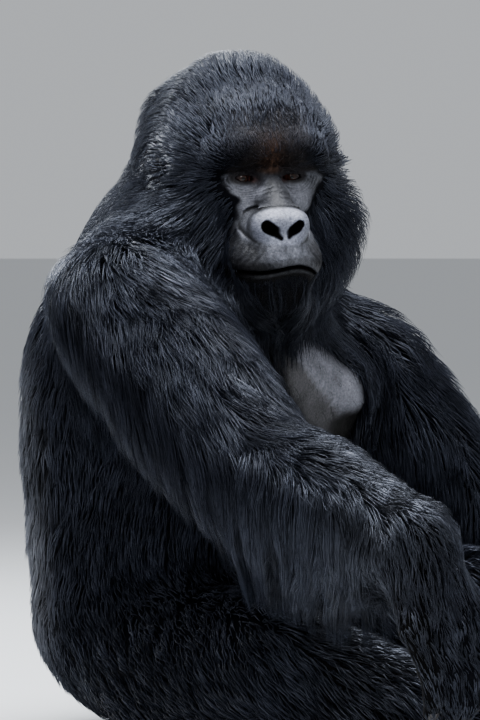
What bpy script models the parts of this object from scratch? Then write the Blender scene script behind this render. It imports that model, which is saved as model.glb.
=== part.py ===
"""A life-size silverback mountain gorilla, sitting, as a still museum model.

Metres, +Z up.  The animal faces -Y and its own left is +X.  The origin is at
the bottom centre of its box, on the floor.

The whole body is built from muscle-like ellipsoids and tapered lengths, joined
by a voxel remesh, softened, thinned and cut flat where it meets the floor.  It
is then parted: each cell, a rounded solid around a limb or the head, keeps what
lies inside it, and the rest loses the cell grown by a hair.  Wrists and ankles
are parted by planes.  Every surface is the outline out to the tips of the coat.
"""

import math

import bmesh
import bpy
from mathutils import Matrix, Vector

# ---- driving dimensions, in metres --------------------------------------------
GAP = 0.0004               # clearance between neighbouring solids
VOXEL = 0.0046             # fineness of the joined flesh before it is thinned
PLAIN_TRIANGLES = 3000     # of the body once thinned, outside its face, hands and feet
FINE_TRIANGLES = 1800      # of the face, hands and feet
FLAT_ENOUGH = math.radians(0.6)
FLOOR = Vector((0, 0, 0))
UP = Vector((0, 0, 1))

EYES_MIDDLE = Vector((-0.102, -0.135, 0.784))          # between the two eyes
HEAD_YAW, HEAD_PITCH, HEAD_ROLL = -36.0, 3.0, -2.0     # degrees; turned to its right
EYE_RADIUS = 0.0125
EYE_PLACE = Vector((0.035, 0.006, 0.000))              # in the head's own axes
EAR_RADII = Vector((0.0090, 0.0220, 0.0310))
EAR_PLACE = Vector((0.131, 0.112, 0.004))
EAR_HOLLOW_RADII = Vector((0.040, 0.029, 0.037))       # where the coat opens round an ear
EAR_HOLLOW_PLACE = Vector((0.170, 0.106, 0.004))

# Joints, as (right, left).  The right forearm lies over the right knee and its
# hand hangs; the left arm hangs lower, with its palm on the floor.
SHOULDER = (Vector((-0.247, 0.005, 0.600)), Vector((0.203, -0.035, 0.514)))
ELBOW = (Vector((-0.322, -0.300, 0.384)), Vector((0.355, -0.180, 0.206)))
WRIST = (Vector((-0.350, -0.575, 0.318)), Vector((0.378, -0.490, 0.066)))
HIP = (Vector((-0.128, 0.020, 0.126)), Vector((0.116, 0.020, 0.126)))
KNEE = (Vector((-0.268, -0.315, 0.140)), Vector((0.126, -0.350, 0.196)))
ANKLE = (Vector((-0.200, -0.560, 0.080)), Vector((0.108, -0.590, 0.080)))

# Principled BSDF colours: (red, green, blue), roughness.
COAT = ((0.014, 0.015, 0.020), 0.85)
SADDLE = ((0.045, 0.047, 0.055), 0.85)
BARE_SKIN = ((0.060, 0.060, 0.070), 0.60)
EYE = ((0.090, 0.030, 0.015), 0.10)


# ---- placing and shaping --------------------------------------------------------
def axes_from(forward, up):
    """Rotation whose -Y is forward and whose +Z is as near up as can be."""
    back = -Vector(forward).normalized()
    side = back.cross(Vector(up)).normalized()
    return Matrix((side, back, side.cross(back))).transposed()


def add_ellipsoid(bm, centre, radii, turn=None, subdivisions=4):
    place = Matrix.Translation(centre)
    if turn is not None:
        place = place @ turn.to_4x4()
    bmesh.ops.create_icosphere(bm, subdivisions=subdivisions, radius=1.0,
                               matrix=place @ Matrix.Diagonal((*radii, 1.0)))


def add_cone(bm, start, end, start_radius, end_radius, segments=32):
    run = end - start
    turn = run.to_track_quat("Z", "Y").to_matrix().to_4x4()
    bmesh.ops.create_cone(bm, cap_ends=True, segments=segments, radius1=start_radius,
                          radius2=end_radius, depth=run.length,
                          matrix=Matrix.Translation((start + end) / 2) @ turn)


def add_limb(bm, start, end, start_radius, end_radius):
    """A tapered length with round ends."""
    add_cone(bm, start, end, start_radius, end_radius)
    add_ellipsoid(bm, start, (start_radius,) * 3, subdivisions=3)
    add_ellipsoid(bm, end, (end_radius,) * 3, subdivisions=3)


# ---- the body ---------------------------------------------------------------------
def add_trunk(bm):
    add_ellipsoid(bm, (0, 0.095, 0.178), (0.240, 0.222, 0.190))         # rump
    add_ellipsoid(bm, (0, 0.110, 0.290), (0.242, 0.215, 0.200))         # loins
    add_ellipsoid(bm, (0, 0.045, 0.320), (0.236, 0.235, 0.200))         # belly
    add_ellipsoid(bm, (0, 0.135, 0.410), (0.250, 0.182, 0.260))         # back
    add_ellipsoid(bm, (0, 0.035, 0.500), (0.220, 0.178, 0.180))         # rib cage
    add_ellipsoid(bm, (-0.01, 0.112, 0.605), (0.200, 0.145, 0.140))     # shoulder hump
    for side, shoulder in zip((-1, 1), SHOULDER):
        add_ellipsoid(bm, (side * 0.084, -0.080, 0.490), (0.100, 0.078, 0.082))     # breast
        add_ellipsoid(bm, (side * 0.148, 0.118, 0.490), (0.115, 0.135, 0.195))      # side of the back
        root = Vector((side * 0.065, 0.070, 0.640))
        add_limb(bm, root, shoulder + Vector((0, 0.03, 0.02)), 0.120, 0.092)        # trapezius
        add_limb(bm, shoulder, Vector((side * 0.09, -0.03, 0.49)), 0.095, 0.110)    # front of the shoulder
    add_limb(bm, Vector((-0.012, 0.095, 0.640)), Vector((-0.040, -0.010, 0.760)), 0.160, 0.130)   # neck
    add_limb(bm, Vector((-0.005, 0.120, 0.620)), Vector((0.010, 0.050, 0.790)), 0.155, 0.125)     # nape
    add_limb(bm, Vector((0.020, 0.112, 0.670)), Vector((0.046, 0.078, 0.820)), 0.152, 0.118)      # its slope


def add_head(bm, head):
    """The head in its own axes: origin between the eyes, -Y out of the face."""
    def lump(centre, radii):
        add_ellipsoid(bm, head @ Vector(centre), radii, turn=head.to_3x3())

    def bar(start, end, start_radius, end_radius):
        add_limb(bm, head @ Vector(start), head @ Vector(end), start_radius, end_radius)

    lump((0, 0.155, 0.056), (0.124, 0.145, 0.108))        # brain case
    lump((0, 0.162, 0.098), (0.094, 0.126, 0.078))        # crest
    lump((0, 0.078, 0.050), (0.104, 0.090, 0.078))        # forehead
    lump((0, 0.195, 0.018), (0.146, 0.112, 0.122))        # back of the head
    lump((0, 0.244, 0.062), (0.128, 0.112, 0.094))        # hump of the nape
    lump((0, 0.040, -0.052), (0.068, 0.068, 0.076))       # middle of the face
    lump((0, -0.010, -0.096), (0.065, 0.068, 0.052))      # muzzle
    lump((0, -0.034, -0.106), (0.062, 0.054, 0.030))      # upper lip
    lump((0, -0.028, -0.137), (0.057, 0.054, 0.022))      # lower lip
    lump((0, -0.006, -0.158), (0.055, 0.054, 0.034))      # chin
    lump((0, -0.066, -0.056), (0.028, 0.028, 0.023))      # top of the nose
    lump((0, -0.070, -0.078), (0.017, 0.024, 0.020))      # bridge between the nostrils
    lump((0, 0.014, -0.166), (0.080, 0.080, 0.060))       # beard
    lump((0, 0.090, -0.112), (0.112, 0.100, 0.090))       # throat
    bar((0, -0.006, 0.008), (0, -0.030, -0.020), 0.018, 0.021)          # bridge of the nose
    bar((0, -0.030, -0.020), (0, -0.058, -0.046), 0.021, 0.025)
    bar((-0.034, -0.010, 0.040), (0.034, -0.010, 0.040), 0.027, 0.027)  # middle of the brow
    for side in (-1, 1):
        lump((side * 0.072, 0.105, 0.022), (0.062, 0.096, 0.090))       # temple
        lump((side * 0.095, 0.085, -0.066), (0.074, 0.088, 0.100))      # cheek
        lump((side * 0.072, 0.078, -0.122), (0.072, 0.080, 0.078))      # corner of the jaw
        lump((side * 0.023, -0.062, -0.063), (0.025, 0.029, 0.029))     # wing of the nose
        bar((side * 0.044, 0.014, -0.024), (side * 0.078, 0.052, -0.014), 0.022, 0.022)   # cheek bone
        bar((side * 0.034, -0.010, 0.040), (side * 0.062, 0.010, 0.031), 0.026, 0.024)    # brow
        bar((side * 0.062, 0.010, 0.031), (side * 0.080, 0.038, 0.008), 0.024, 0.022)     # end of the brow


def add_digit(bm, root, way, curl_axis, bends, lengths, radii):
    """A finger or toe whose lengths each bend further, in degrees, about one axis."""
    angle = 0.0
    for i, length in enumerate(lengths):
        angle += math.radians(bends[i])
        end = root + Matrix.Rotation(angle, 3, curl_axis) @ way * length
        add_limb(bm, root, end, radii[i], radii[i + 1])
        root = end


def add_hand(bm, wrist, turn, thumb_side, bends):
    """-Y of turn runs to the fingers and +Z out of the back of the hand."""
    out, back, curl_axis = turn @ Vector((0, -1, 0)), turn @ Vector((0, 0, 1)), turn @ Vector((1, 0, 0))
    across = curl_axis * thumb_side
    add_limb(bm, wrist, wrist + out * 0.050, 0.056, 0.046)
    add_ellipsoid(bm, wrist + out * 0.082, (0.066, 0.066, 0.030), turn=turn)
    for place, far in zip((1.5, 0.5, -0.5, -1.5), (0.112, 0.122, 0.118, 0.104)):
        root = wrist + across * place * 0.034 + out * far
        fan = Matrix.Rotation(math.radians(-5.0) * place * thumb_side, 3, back)
        add_digit(bm, root, fan @ out, curl_axis, bends, (0.052, 0.036, 0.026),
                  (0.0165, 0.0155, 0.0140, 0.0112))
    thumb_root = wrist + out * 0.045 + across * 0.052 - back * 0.008
    add_digit(bm, thumb_root, (out + across * 0.55 - back * 0.20).normalized(), curl_axis,
              (0, 8, 12), (0.036, 0.028, 0.018), (0.0190, 0.0160, 0.0145, 0.0110))


def add_arm(bm, side):
    shoulder, elbow, wrist = SHOULDER[side], ELBOW[side], WRIST[side]
    upper, fore = elbow - shoulder, wrist - elbow
    add_ellipsoid(bm, shoulder + upper * 0.06, (0.122, 0.130, 0.122))      # deltoid
    add_limb(bm, shoulder, shoulder + upper * 0.45, 0.118, 0.126)
    add_limb(bm, shoulder + upper * 0.45, elbow, 0.126, 0.104)
    add_limb(bm, elbow, elbow + fore * 0.4, 0.104, 0.101)
    add_limb(bm, elbow + fore * 0.4, wrist, 0.101, 0.068)
    if side == 0:
        add_ellipsoid(bm, elbow + fore * 0.46 - UP * 0.080, (0.048, 0.110, 0.055))      # hair hanging below
        hand = axes_from((0.10, -0.40, -0.91), (-0.22, -0.88, 0.42))
        add_hand(bm, wrist, hand, 1, (8, 20, 26))
    else:
        add_ellipsoid(bm, elbow + fore * 0.40 - UP * 0.050, (0.060, 0.130, 0.068))
        hand = axes_from((-0.06, -0.94, -0.33), (0.02, -0.30, 0.95))
        add_hand(bm, wrist, hand, -1, (-9, -6, 6))


def add_foot(bm, ankle, turn, inner_side):
    """Heel, sole, four toes and a thumb-like great toe; -Y of turn runs to the toes."""
    out, up, curl_axis = turn @ Vector((0, -1, 0)), turn @ Vector((0, 0, 1)), turn @ Vector((1, 0, 0))
    across = curl_axis * inner_side
    heel = ankle - out * 0.030 - up * 0.036
    ball = ankle + out * 0.125 - up * 0.054
    add_limb(bm, ankle, heel, 0.054, 0.046)
    add_limb(bm, heel, ball, 0.043, 0.032)
    add_limb(bm, ankle, ball, 0.050, 0.030)
    add_ellipsoid(bm, ball, (0.062, 0.058, 0.028), turn=turn)
    for place, far in zip((1.1, 0.3, -0.5, -1.3), (0.046, 0.050, 0.045, 0.034)):
        root = ball + across * place * 0.033 + out * far
        add_digit(bm, root, out, curl_axis, (6, 10, 14), (0.034, 0.026, 0.018),
                  (0.0155, 0.0145, 0.0135, 0.0110))
    great_root = ankle + out * 0.070 + across * 0.042 - up * 0.056
    add_digit(bm, great_root, (out + across * 0.62).normalized(), curl_axis,
              (0, 6, 10), (0.048, 0.038, 0.026), (0.0240, 0.0220, 0.0200, 0.0155))


def add_leg(bm, side):
    hip, knee, ankle = HIP[side], KNEE[side], ANKLE[side]
    shin = ankle - knee
    add_limb(bm, hip, knee, 0.132, 0.092)
    add_limb(bm, knee, knee + shin * 0.4, 0.090, 0.080)
    add_limb(bm, knee + shin * 0.4, ankle, 0.080, 0.056)
    inward = 1 if side == 0 else -1
    add_foot(bm, ankle, axes_from((inward * 0.06, -1.0, 0.0), (-inward * 0.16, 0.0, 0.98)), inward)


# ---- from rough shapes to closed solids --------------------------------------------
def object_of(mesh, name):
    obj = bpy.data.objects.new(name, mesh)
    bpy.context.scene.collection.objects.link(obj)
    return obj


def applied(obj):
    """The object's mesh with its modifiers applied; the object is removed."""
    bpy.context.view_layer.update()
    graph = bpy.context.evaluated_depsgraph_get()
    mesh = bpy.data.meshes.new_from_object(obj.evaluated_get(graph), depsgraph=graph)
    bpy.data.objects.remove(obj)
    return mesh


def mesh_from(*add_shapes):
    """A mesh that each of the given functions adds its shapes to."""
    bm = bmesh.new()
    for add in add_shapes:
        add(bm)
    bmesh.ops.recalc_face_normals(bm, faces=bm.faces[:])
    mesh = bpy.data.meshes.new("shape")
    bm.to_mesh(mesh)
    bm.free()
    return mesh


def ellipsoid_mesh(centre, radii, turn=None, subdivisions=2):
    return mesh_from(lambda bm: add_ellipsoid(bm, centre, radii, turn, subdivisions))


def joined(mesh):
    """The union of closed, overlapping shapes, as one fine closed mesh."""
    obj = object_of(mesh, "joining")
    join = obj.modifiers.new("join", "REMESH")
    join.mode, join.voxel_size = "VOXEL", VOXEL
    return applied(obj)


def softened(mesh, fine, broad, fine_spots):
    """Smoothed fine times everywhere, and broad times outside fine_spots, (centre, radius)."""
    obj = object_of(mesh, "softening")
    group = obj.vertex_groups.new(name="broad")
    for vertex in obj.data.vertices:
        clear = min((vertex.co - centre).length / radius for centre, radius in fine_spots)
        group.add([vertex.index], min(1.0, max(0.0, (clear - 1.0) * 3.0)), "REPLACE")
    for iterations, name in ((fine, ""), (broad, "broad")):
        smooth = obj.modifiers.new("soften", "SMOOTH")
        smooth.factor, smooth.iterations, smooth.vertex_group = 0.5, iterations, name
    return applied(obj)


def thinned(mesh, plain, fine, fine_spots):
    """The mesh thinned to so many triangles inside fine_spots, (centre, radius), and outside them."""
    for name, target, inside in (("plain", plain, False), ("fine", fine, True)):
        obj = object_of(mesh, "thinning")
        group = obj.vertex_groups.new(name=name)
        chosen = set()
        for vertex in mesh.vertices:
            if any((vertex.co - centre).length < radius for centre, radius in fine_spots) == inside:
                chosen.add(vertex.index)
        group.add(sorted(chosen), 1.0, "REPLACE")
        sides = [len(face.vertices) - 2 for face in mesh.polygons]
        kept = sum(count for count, face in zip(sides, mesh.polygons) if not chosen.intersection(face.vertices))
        thin = obj.modifiers.new("thin", "DECIMATE")
        thin.ratio = (kept + target) / sum(sides)
        thin.vertex_group = name
        mesh = applied(obj)
    return mesh


def grown(mesh, clearance):
    bm = bmesh.new()
    bm.from_mesh(mesh)
    bm.normal_update()
    for vertex in bm.verts:
        vertex.co += vertex.normal * clearance
    bigger = bpy.data.meshes.new("grown")
    bm.to_mesh(bigger)
    bm.free()
    return bigger


def tidied(mesh):
    """The mesh without the extra points that cuts leave along straight edges and flat faces."""
    bm = bmesh.new()
    bm.from_mesh(mesh)
    bmesh.ops.dissolve_limit(bm, angle_limit=FLAT_ENOUGH, use_dissolve_boundaries=False,
                             verts=bm.verts[:], edges=bm.edges[:])
    bmesh.ops.triangulate(bm, faces=bm.faces[:])
    clean = bpy.data.meshes.new("tidied")
    bm.to_mesh(clean)
    bm.free()
    return clean


def boolean(mesh, operation, cutter):
    tool = object_of(cutter, "cutter")
    obj = object_of(mesh, "carving")
    carve = obj.modifiers.new("carve", "BOOLEAN")
    carve.operation, carve.solver, carve.object = operation, "EXACT", tool
    result = applied(obj)
    bpy.data.objects.remove(tool)
    return result


def halved(mesh, point, normal):
    """The closed parts of a mesh behind and ahead of a plane, GAP apart."""
    halves = []
    for way in (-normal.normalized(), normal.normalized()):
        bm = bmesh.new()
        bm.from_mesh(mesh)
        found = bmesh.ops.bisect_plane(bm, geom=bm.verts[:] + bm.edges[:] + bm.faces[:],
                                       plane_co=point + way * GAP / 2, plane_no=way,
                                       clear_inner=True)
        rim = [item for item in found["geom_cut"] if isinstance(item, bmesh.types.BMEdge)]
        bmesh.ops.holes_fill(bm, edges=rim)
        bmesh.ops.triangulate(bm, faces=bm.faces[:])
        bmesh.ops.recalc_face_normals(bm, faces=bm.faces[:])
        half = bpy.data.meshes.new("half")
        bm.to_mesh(half)
        bm.free()
        halves.append(half)
    return halves


def shells(mesh):
    """The connected shells of a mesh, each as its own mesh, the largest first."""
    bm = bmesh.new()
    bm.from_mesh(mesh)
    left, groups = set(bm.faces), []
    while left:
        start = left.pop()
        shell, front = {start.index}, [start]
        while front:
            for edge in front.pop().edges:
                for face in edge.link_faces:
                    if face in left:
                        left.remove(face)
                        shell.add(face.index)
                        front.append(face)
        groups.append(shell)
    bm.free()
    meshes = []
    for shell in sorted(groups, key=lambda group: (-len(group), min(group))):
        bm = bmesh.new()
        bm.from_mesh(mesh)
        bmesh.ops.delete(bm, geom=[face for face in bm.faces if face.index not in shell], context="FACES")
        whole = bpy.data.meshes.new("shell")
        bm.to_mesh(whole)
        bm.free()
        meshes.append(whole)
    return meshes


def nearest(meshes, point):
    """The mesh whose middle lies nearest to a point."""
    def reach(mesh):
        middle = sum((vertex.co for vertex in mesh.vertices), Vector()) / len(mesh.vertices)
        return (middle - point).length
    return min(meshes, key=reach)


# ---- parting the body ----------------------------------------------------------------
def head_cell(head):
    """An oval drum about the head, whose base runs from under the beard up to the nape."""
    tilt = Matrix.Rotation(math.radians(27), 4, "X") @ Matrix.Diagonal((0.76, 1.25, 1.0, 1.0))
    place = head @ Matrix.Translation((0, 0.215, -0.117)) @ tilt
    drum = mesh_from(lambda bm: add_cone(bm, Vector(), UP * 0.45, 0.235, 0.235, 32))
    drum.transform(place)
    return drum


def neck_cell():
    base, top = Vector((-0.010, 0.080, 0.655)), Vector((-0.045, -0.030, 0.830))
    return mesh_from(lambda bm: add_cone(bm, base, top, 0.178, 0.178, 20))


def limb_cell(start, end, start_radius, end_radius):
    """Round about the joint at its start, and flat across the joint at its end."""
    cone = mesh_from(lambda bm: add_cone(bm, start, end, start_radius, end_radius, 20))
    ball = ellipsoid_mesh(start, (start_radius,) * 3)
    return boolean(cone, "UNION", ball)


def taken(rest, cell):
    """What of the rest lies in the cell, and the rest without it."""
    inside = boolean(rest, "INTERSECT", cell)
    outside = boolean(rest, "DIFFERENCE", grown(cell, GAP))
    return shells(inside)[0], outside


def parted(body, head):
    parts = {}
    parts["head"], body = taken(body, head_cell(head))
    parts["neck"], body = taken(body, neck_cell())
    for side, name in ((0, "r"), (1, "l")):
        shoulder, elbow, wrist = SHOULDER[side], ELBOW[side], WRIST[side]
        hip, knee, ankle = HIP[side], KNEE[side], ANKLE[side]
        cell = limb_cell(shoulder, elbow, 0.148, 0.126)
        parts[f"upper_arm_{name}"], body = taken(body, cell)
        forearm = nearest(shells(body), (elbow + wrist) / 2)
        parts[f"forearm_{name}"], parts[f"hand_{name}"] = halved(forearm, wrist, wrist - elbow)
        cell = limb_cell(hip, knee, 0.150, 0.118)
        parts[f"thigh_{name}"], body = taken(body, cell)
        shin = nearest(shells(body), (knee + ankle) / 2)
        at_ankle = ankle + (knee - ankle).normalized() * 0.02
        parts[f"shin_{name}"], parts[f"foot_{name}"] = halved(shin, at_ankle, ankle - knee)
    parts["trunk"] = shells(body)[0]
    return parts


def add_face(parts, head):
    """Eyes and ears in pockets of the head, and its sockets, nostrils and mouth."""
    turn = head.to_3x3()
    face = parts["head"]
    for side in (-1, 1):
        socket = ellipsoid_mesh(head @ Vector((side * 0.036, -0.018, -0.002)), (0.022, 0.025, 0.0120), turn)
        nostril = ellipsoid_mesh(head @ Vector((side * 0.0160, -0.090, -0.067)), (0.0100, 0.014, 0.0085), turn)
        hollow_at = Vector((side * EAR_HOLLOW_PLACE.x, EAR_HOLLOW_PLACE.y, EAR_HOLLOW_PLACE.z))
        hollow = ellipsoid_mesh(head @ hollow_at, EAR_HOLLOW_RADII, turn)
        for cutter in (socket, nostril, hollow):
            face = boolean(face, "DIFFERENCE", cutter)
    mouth = ellipsoid_mesh(head @ Vector((0, -0.058, -0.123)), (0.057, 0.036, 0.0032), turn)
    face = boolean(face, "DIFFERENCE", mouth)
    for side, name in ((-1, "r"), (1, "l")):
        eye = Vector((side * EYE_PLACE.x, EYE_PLACE.y, EYE_PLACE.z))
        ear = Vector((side * EAR_PLACE.x, EAR_PLACE.y, EAR_PLACE.z))
        flare = turn @ Matrix.Rotation(math.radians(side * 24), 3, "Z")
        shell = ellipsoid_mesh(head @ ear, EAR_RADII, flare)
        bowl = head @ ear + flare @ Vector((side * 0.009, -0.004, 0.003))
        parts[f"eye_{name}"] = ellipsoid_mesh(head @ eye, (EYE_RADIUS,) * 3, turn)
        parts[f"ear_{name}"] = boolean(shell, "DIFFERENCE", ellipsoid_mesh(bowl, EAR_RADII * 0.62, flare))
        face = boolean(face, "DIFFERENCE", grown(parts[f"eye_{name}"], GAP))
        face = boolean(face, "DIFFERENCE", grown(shell, GAP))
    parts["head"] = shells(face)[0]


def whole_body(head):
    arms_and_legs = [lambda bm, side=side: (add_arm(bm, side), add_leg(bm, side)) for side in (0, 1)]
    rough = joined(mesh_from(add_trunk, lambda bm: add_head(bm, head), *arms_and_legs))
    fine_spots = [(head @ Vector((0, -0.030, -0.060)), 0.100)]
    fine_spots += [(WRIST[0] + Vector((0.02, -0.06, -0.14)), 0.13), (WRIST[1] + Vector((0, -0.14, -0.05)), 0.12)]
    fine_spots += [(ankle + Vector((0, -0.14, -0.06)), 0.13) for ankle in ANKLE]
    soft = softened(rough, 8, 55, fine_spots)
    return halved(thinned(soft, PLAIN_TRIANGLES, FINE_TRIANGLES, fine_spots), FLOOR, UP)[1]


def finish(name, mesh, look):
    colour, roughness = look
    material = bpy.data.materials.new(name)
    material.use_nodes = True
    shader = material.node_tree.nodes["Principled BSDF"]
    shader.inputs["Base Color"].default_value = (*colour, 1.0)
    shader.inputs["Roughness"].default_value = roughness
    mesh.materials.clear()
    mesh.materials.append(material)
    mesh.shade_smooth()
    object_of(mesh, name)


def main():
    for obj in list(bpy.data.objects):
        bpy.data.objects.remove(obj)
    turn = (Matrix.Rotation(math.radians(HEAD_YAW), 4, "Z")
            @ Matrix.Rotation(math.radians(HEAD_PITCH), 4, "X")
            @ Matrix.Rotation(math.radians(HEAD_ROLL), 4, "Y"))
    head = Matrix.Translation(EYES_MIDDLE) @ turn
    parts = parted(whole_body(head), head)
    add_face(parts, head)
    looks = {"eye_r": EYE, "eye_l": EYE, "ear_r": BARE_SKIN, "ear_l": BARE_SKIN,
             "hand_r": BARE_SKIN, "hand_l": BARE_SKIN, "foot_r": BARE_SKIN, "foot_l": BARE_SKIN,
             "trunk": SADDLE}
    corners = [vertex.co for mesh in parts.values() for vertex in mesh.vertices]
    middle = Vector([(min(c[i] for c in corners) + max(c[i] for c in corners)) / 2 for i in (0, 1)])
    lowest = min(c.z for c in corners)
    for name, mesh in parts.items():
        mesh.transform(Matrix.Translation((-middle.x, -middle.y, -lowest)))
        finish(name, tidied(mesh), looks.get(name, COAT))


main()
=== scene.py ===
"""The looks of the seated silverback gorilla: one skin, eyes, nails and a coat of solid locks.

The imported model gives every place.  Sizes are in metres; the face is written in
millimetres in the head's own axes (origin between the eyes, +X the animal's
left, +Y the back of the head, +Z up) and set into the frame at the end.
"""

import math

import bmesh
import bpy
import numpy as np
from mathutils import Matrix, Vector
from mathutils.bvhtree import BVHTree
from mathutils.kdtree import KDTree


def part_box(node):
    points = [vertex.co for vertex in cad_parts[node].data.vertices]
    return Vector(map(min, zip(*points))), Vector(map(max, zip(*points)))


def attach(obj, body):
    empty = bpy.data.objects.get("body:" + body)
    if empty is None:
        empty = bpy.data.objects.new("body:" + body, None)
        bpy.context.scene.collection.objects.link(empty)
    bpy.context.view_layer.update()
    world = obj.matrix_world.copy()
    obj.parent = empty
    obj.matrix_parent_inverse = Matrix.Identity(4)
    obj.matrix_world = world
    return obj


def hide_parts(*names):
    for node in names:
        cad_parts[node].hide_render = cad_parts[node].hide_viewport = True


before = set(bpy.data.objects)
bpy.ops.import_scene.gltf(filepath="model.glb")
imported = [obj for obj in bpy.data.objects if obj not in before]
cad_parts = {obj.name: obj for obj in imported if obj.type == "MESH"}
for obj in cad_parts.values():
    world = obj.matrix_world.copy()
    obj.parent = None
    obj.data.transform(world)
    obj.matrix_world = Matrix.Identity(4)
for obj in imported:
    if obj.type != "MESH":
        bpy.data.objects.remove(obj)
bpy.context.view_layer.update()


# ---- places taken from the model ------------------------------------------------
def middle_of(node):
    low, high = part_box(node)
    return (low + high) / 2


HEAD_YAW, HEAD_PITCH, HEAD_ROLL = -36.0, 3.0, -2.0      # degrees
EYE_BACK = 0.006                                        # eyeballs sit this far behind the origin
HEAD_TURN = (Matrix.Rotation(math.radians(HEAD_YAW), 3, "Z")
             @ Matrix.Rotation(math.radians(HEAD_PITCH), 3, "X")
             @ Matrix.Rotation(math.radians(HEAD_ROLL), 3, "Y"))
HEAD = (middle_of("eye_l") + middle_of("eye_r")) / 2 - HEAD_TURN @ Vector((0, EYE_BACK, 0))
EYES_MIDDLE = Vector((-0.102, -0.135, 0.784))
TO_FRAME = HEAD - EYES_MIDDLE                           # from the modelling axes to the frame


SHIFT = np.array(TO_FRAME)


def at(x, y, z):
    return Vector((x, y, z)) + TO_FRAME


def to_model(points):
    """From the frame to the modelling axes, both in metres."""
    return points - SHIFT


TURN = np.array(HEAD_TURN)
HEAD_AT = np.array(HEAD)


def to_head(points):
    """From the frame, in metres, to the head's axes, in millimetres."""
    return (points - HEAD_AT) @ TURN * 1000.0


def from_head(points):
    return points @ TURN.T / 1000.0 + HEAD_AT


# ---- shapes as signed distances ----------------------------------------------------
def ellipsoid(p, centre, radii):
    q = p - np.asarray(centre, np.float32)
    radii = np.asarray(radii, np.float32)
    near = np.sqrt(((q / radii) ** 2).sum(-1))
    far = np.sqrt(((q / radii**2) ** 2).sum(-1))
    return near * (near - 1.0) / np.maximum(far, 1e-6)


def capsule(p, start, end, start_radius, end_radius):
    start, end = np.asarray(start, np.float32), np.asarray(end, np.float32)
    run = end - start
    share = np.clip(((p - start) @ run) / (run @ run), 0, 1)
    gap = p - start - share[:, None] * run
    return np.sqrt((gap**2).sum(-1)) - (start_radius + (end_radius - start_radius) * share)


def merged(a, b, blend):
    share = np.clip(0.5 + 0.5 * (b - a) / blend, 0, 1)
    return b * (1 - share) + a * share - blend * share * (1 - share)


def carved(a, b, blend):
    return -merged(-a, b, blend)


def swollen(d, lumps):
    """A distance with ellipsoids merged on, each given as points, centre, radii and blend."""
    for p, centre, radii, blend in lumps:
        d = merged(d, ellipsoid(p, centre, radii), blend)
    return d


def mirrored(p):
    """The points with all of them on the left side."""
    m = p.copy()
    m[:, 0] = np.abs(m[:, 0])
    return m


def ramp(value, start, end):
    """0 at the start and 1 at the end, smooth between them."""
    share = np.clip((value - start) / (end - start), 0, 1)
    return share * share * (3 - 2 * share)


def hill(value, middle, width, power=4):
    """1 at the middle, falling to 0 on both sides; flat-topped, or a bell with power 2."""
    return np.exp(-(((value - middle) / width) ** power))


def surface_of(shape, low, high, step):
    """Corners and quads of the closed surface where a distance is zero."""
    axes = [np.arange(a, b + step, step, dtype=np.float32) for a, b in zip(low, high)]
    size = [len(axis) for axis in axes]
    value = np.empty(size, np.float32)
    for i, x in enumerate(axes[0]):
        slab = np.stack(np.meshgrid([x], axes[1], axes[2], indexing="ij"), -1)
        value[i] = shape(slab.reshape(-1, 3)).reshape(size[1:])
    value[0], value[-1] = 1.0, 1.0
    value[:, 0], value[:, -1] = 1.0, 1.0
    value[:, :, 0], value[:, :, -1] = 1.0, 1.0
    inside = value < 0
    corners = [inside[i:size[0] - 1 + i, j:size[1] - 1 + j, k:size[2] - 1 + k]
               for i in (0, 1) for j in (0, 1) for k in (0, 1)]
    count = sum(corner.astype(np.int8) for corner in corners)
    cells = np.argwhere((count > 0) & (count < 8))
    number = np.full([n - 1 for n in size], -1, np.int64)
    number[tuple(cells.T)] = np.arange(len(cells))
    total, crossings = np.zeros((len(cells), 3)), np.zeros(len(cells))
    for axis in range(3):
        others = [a for a in range(3) if a != axis]
        for u in (0, 1):
            for v in (0, 1):
                offset = np.zeros(3, int)
                offset[others[0]], offset[others[1]] = u, v
                one = cells + offset
                two = one.copy()
                two[:, axis] += 1
                a, b = value[tuple(one.T)], value[tuple(two.T)]
                crosses = (a < 0) != (b < 0)
                share = np.where(crosses, a / np.where(crosses, a - b, 1.0), 0.0)
                point = one.astype(float)
                point[:, axis] += share
                total += point * crosses[:, None]
                crossings += crosses
    points = total / crossings[:, None] * step + np.asarray(low)
    quads = []
    for axis in range(3):
        u, v = [a for a in range(3) if a != axis]
        first = [slice(None)] * 3
        second = [slice(None)] * 3
        first[axis], second[axis] = slice(0, -1), slice(1, None)
        changes = inside[tuple(first)] != inside[tuple(second)]
        edges = np.argwhere(changes)
        leaving = inside[tuple(first)][tuple(edges.T)]
        around = []
        for du, dv in ((-1, -1), (0, -1), (0, 0), (-1, 0)):
            cell = edges.copy()
            cell[:, u] += du
            cell[:, v] += dv
            around.append(number[tuple(cell.T)])
        quad = np.stack(around, 1)
        outward = leaving if axis != 1 else ~leaving
        quad[~outward] = quad[~outward][:, ::-1]
        quads.append(quad)
    return points, np.concatenate(quads)


# ---- the head, in millimetres in its own axes ----------------------------------------
EYE_AT = (35.0, 6.0, 0.0)
EYEBALL = 12.3                       # radius
LID = 1.9                            # thickness of an eyelid over the eyeball
MOUTH_LINE = ((-66, -123), (-50, -122.5), (-32, -123.5), (-12, -121.5), (8, -118),
              (26, -117), (42, -124), (56, -136), (68, -150))     # (x, z) along the lips
MOUTH_CORNER = 62.0
EAR_AT = (127, 112, 4)
FACE_BOX = ((-88, -112, -170), (88, 40, 78))            # finely meshed
HEAD_BOX = ((-156, -112, -206), (156, 334, 172))
OVERLAP = 5.0                                           # of the fine face and the rest
FACE_STEP, HEAD_STEP = 1.5, 4.5
XS, ZS = zip(*MOUTH_LINE)
LIPS = np.polynomial.Polynomial.fit(XS, ZS, 5)


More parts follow.
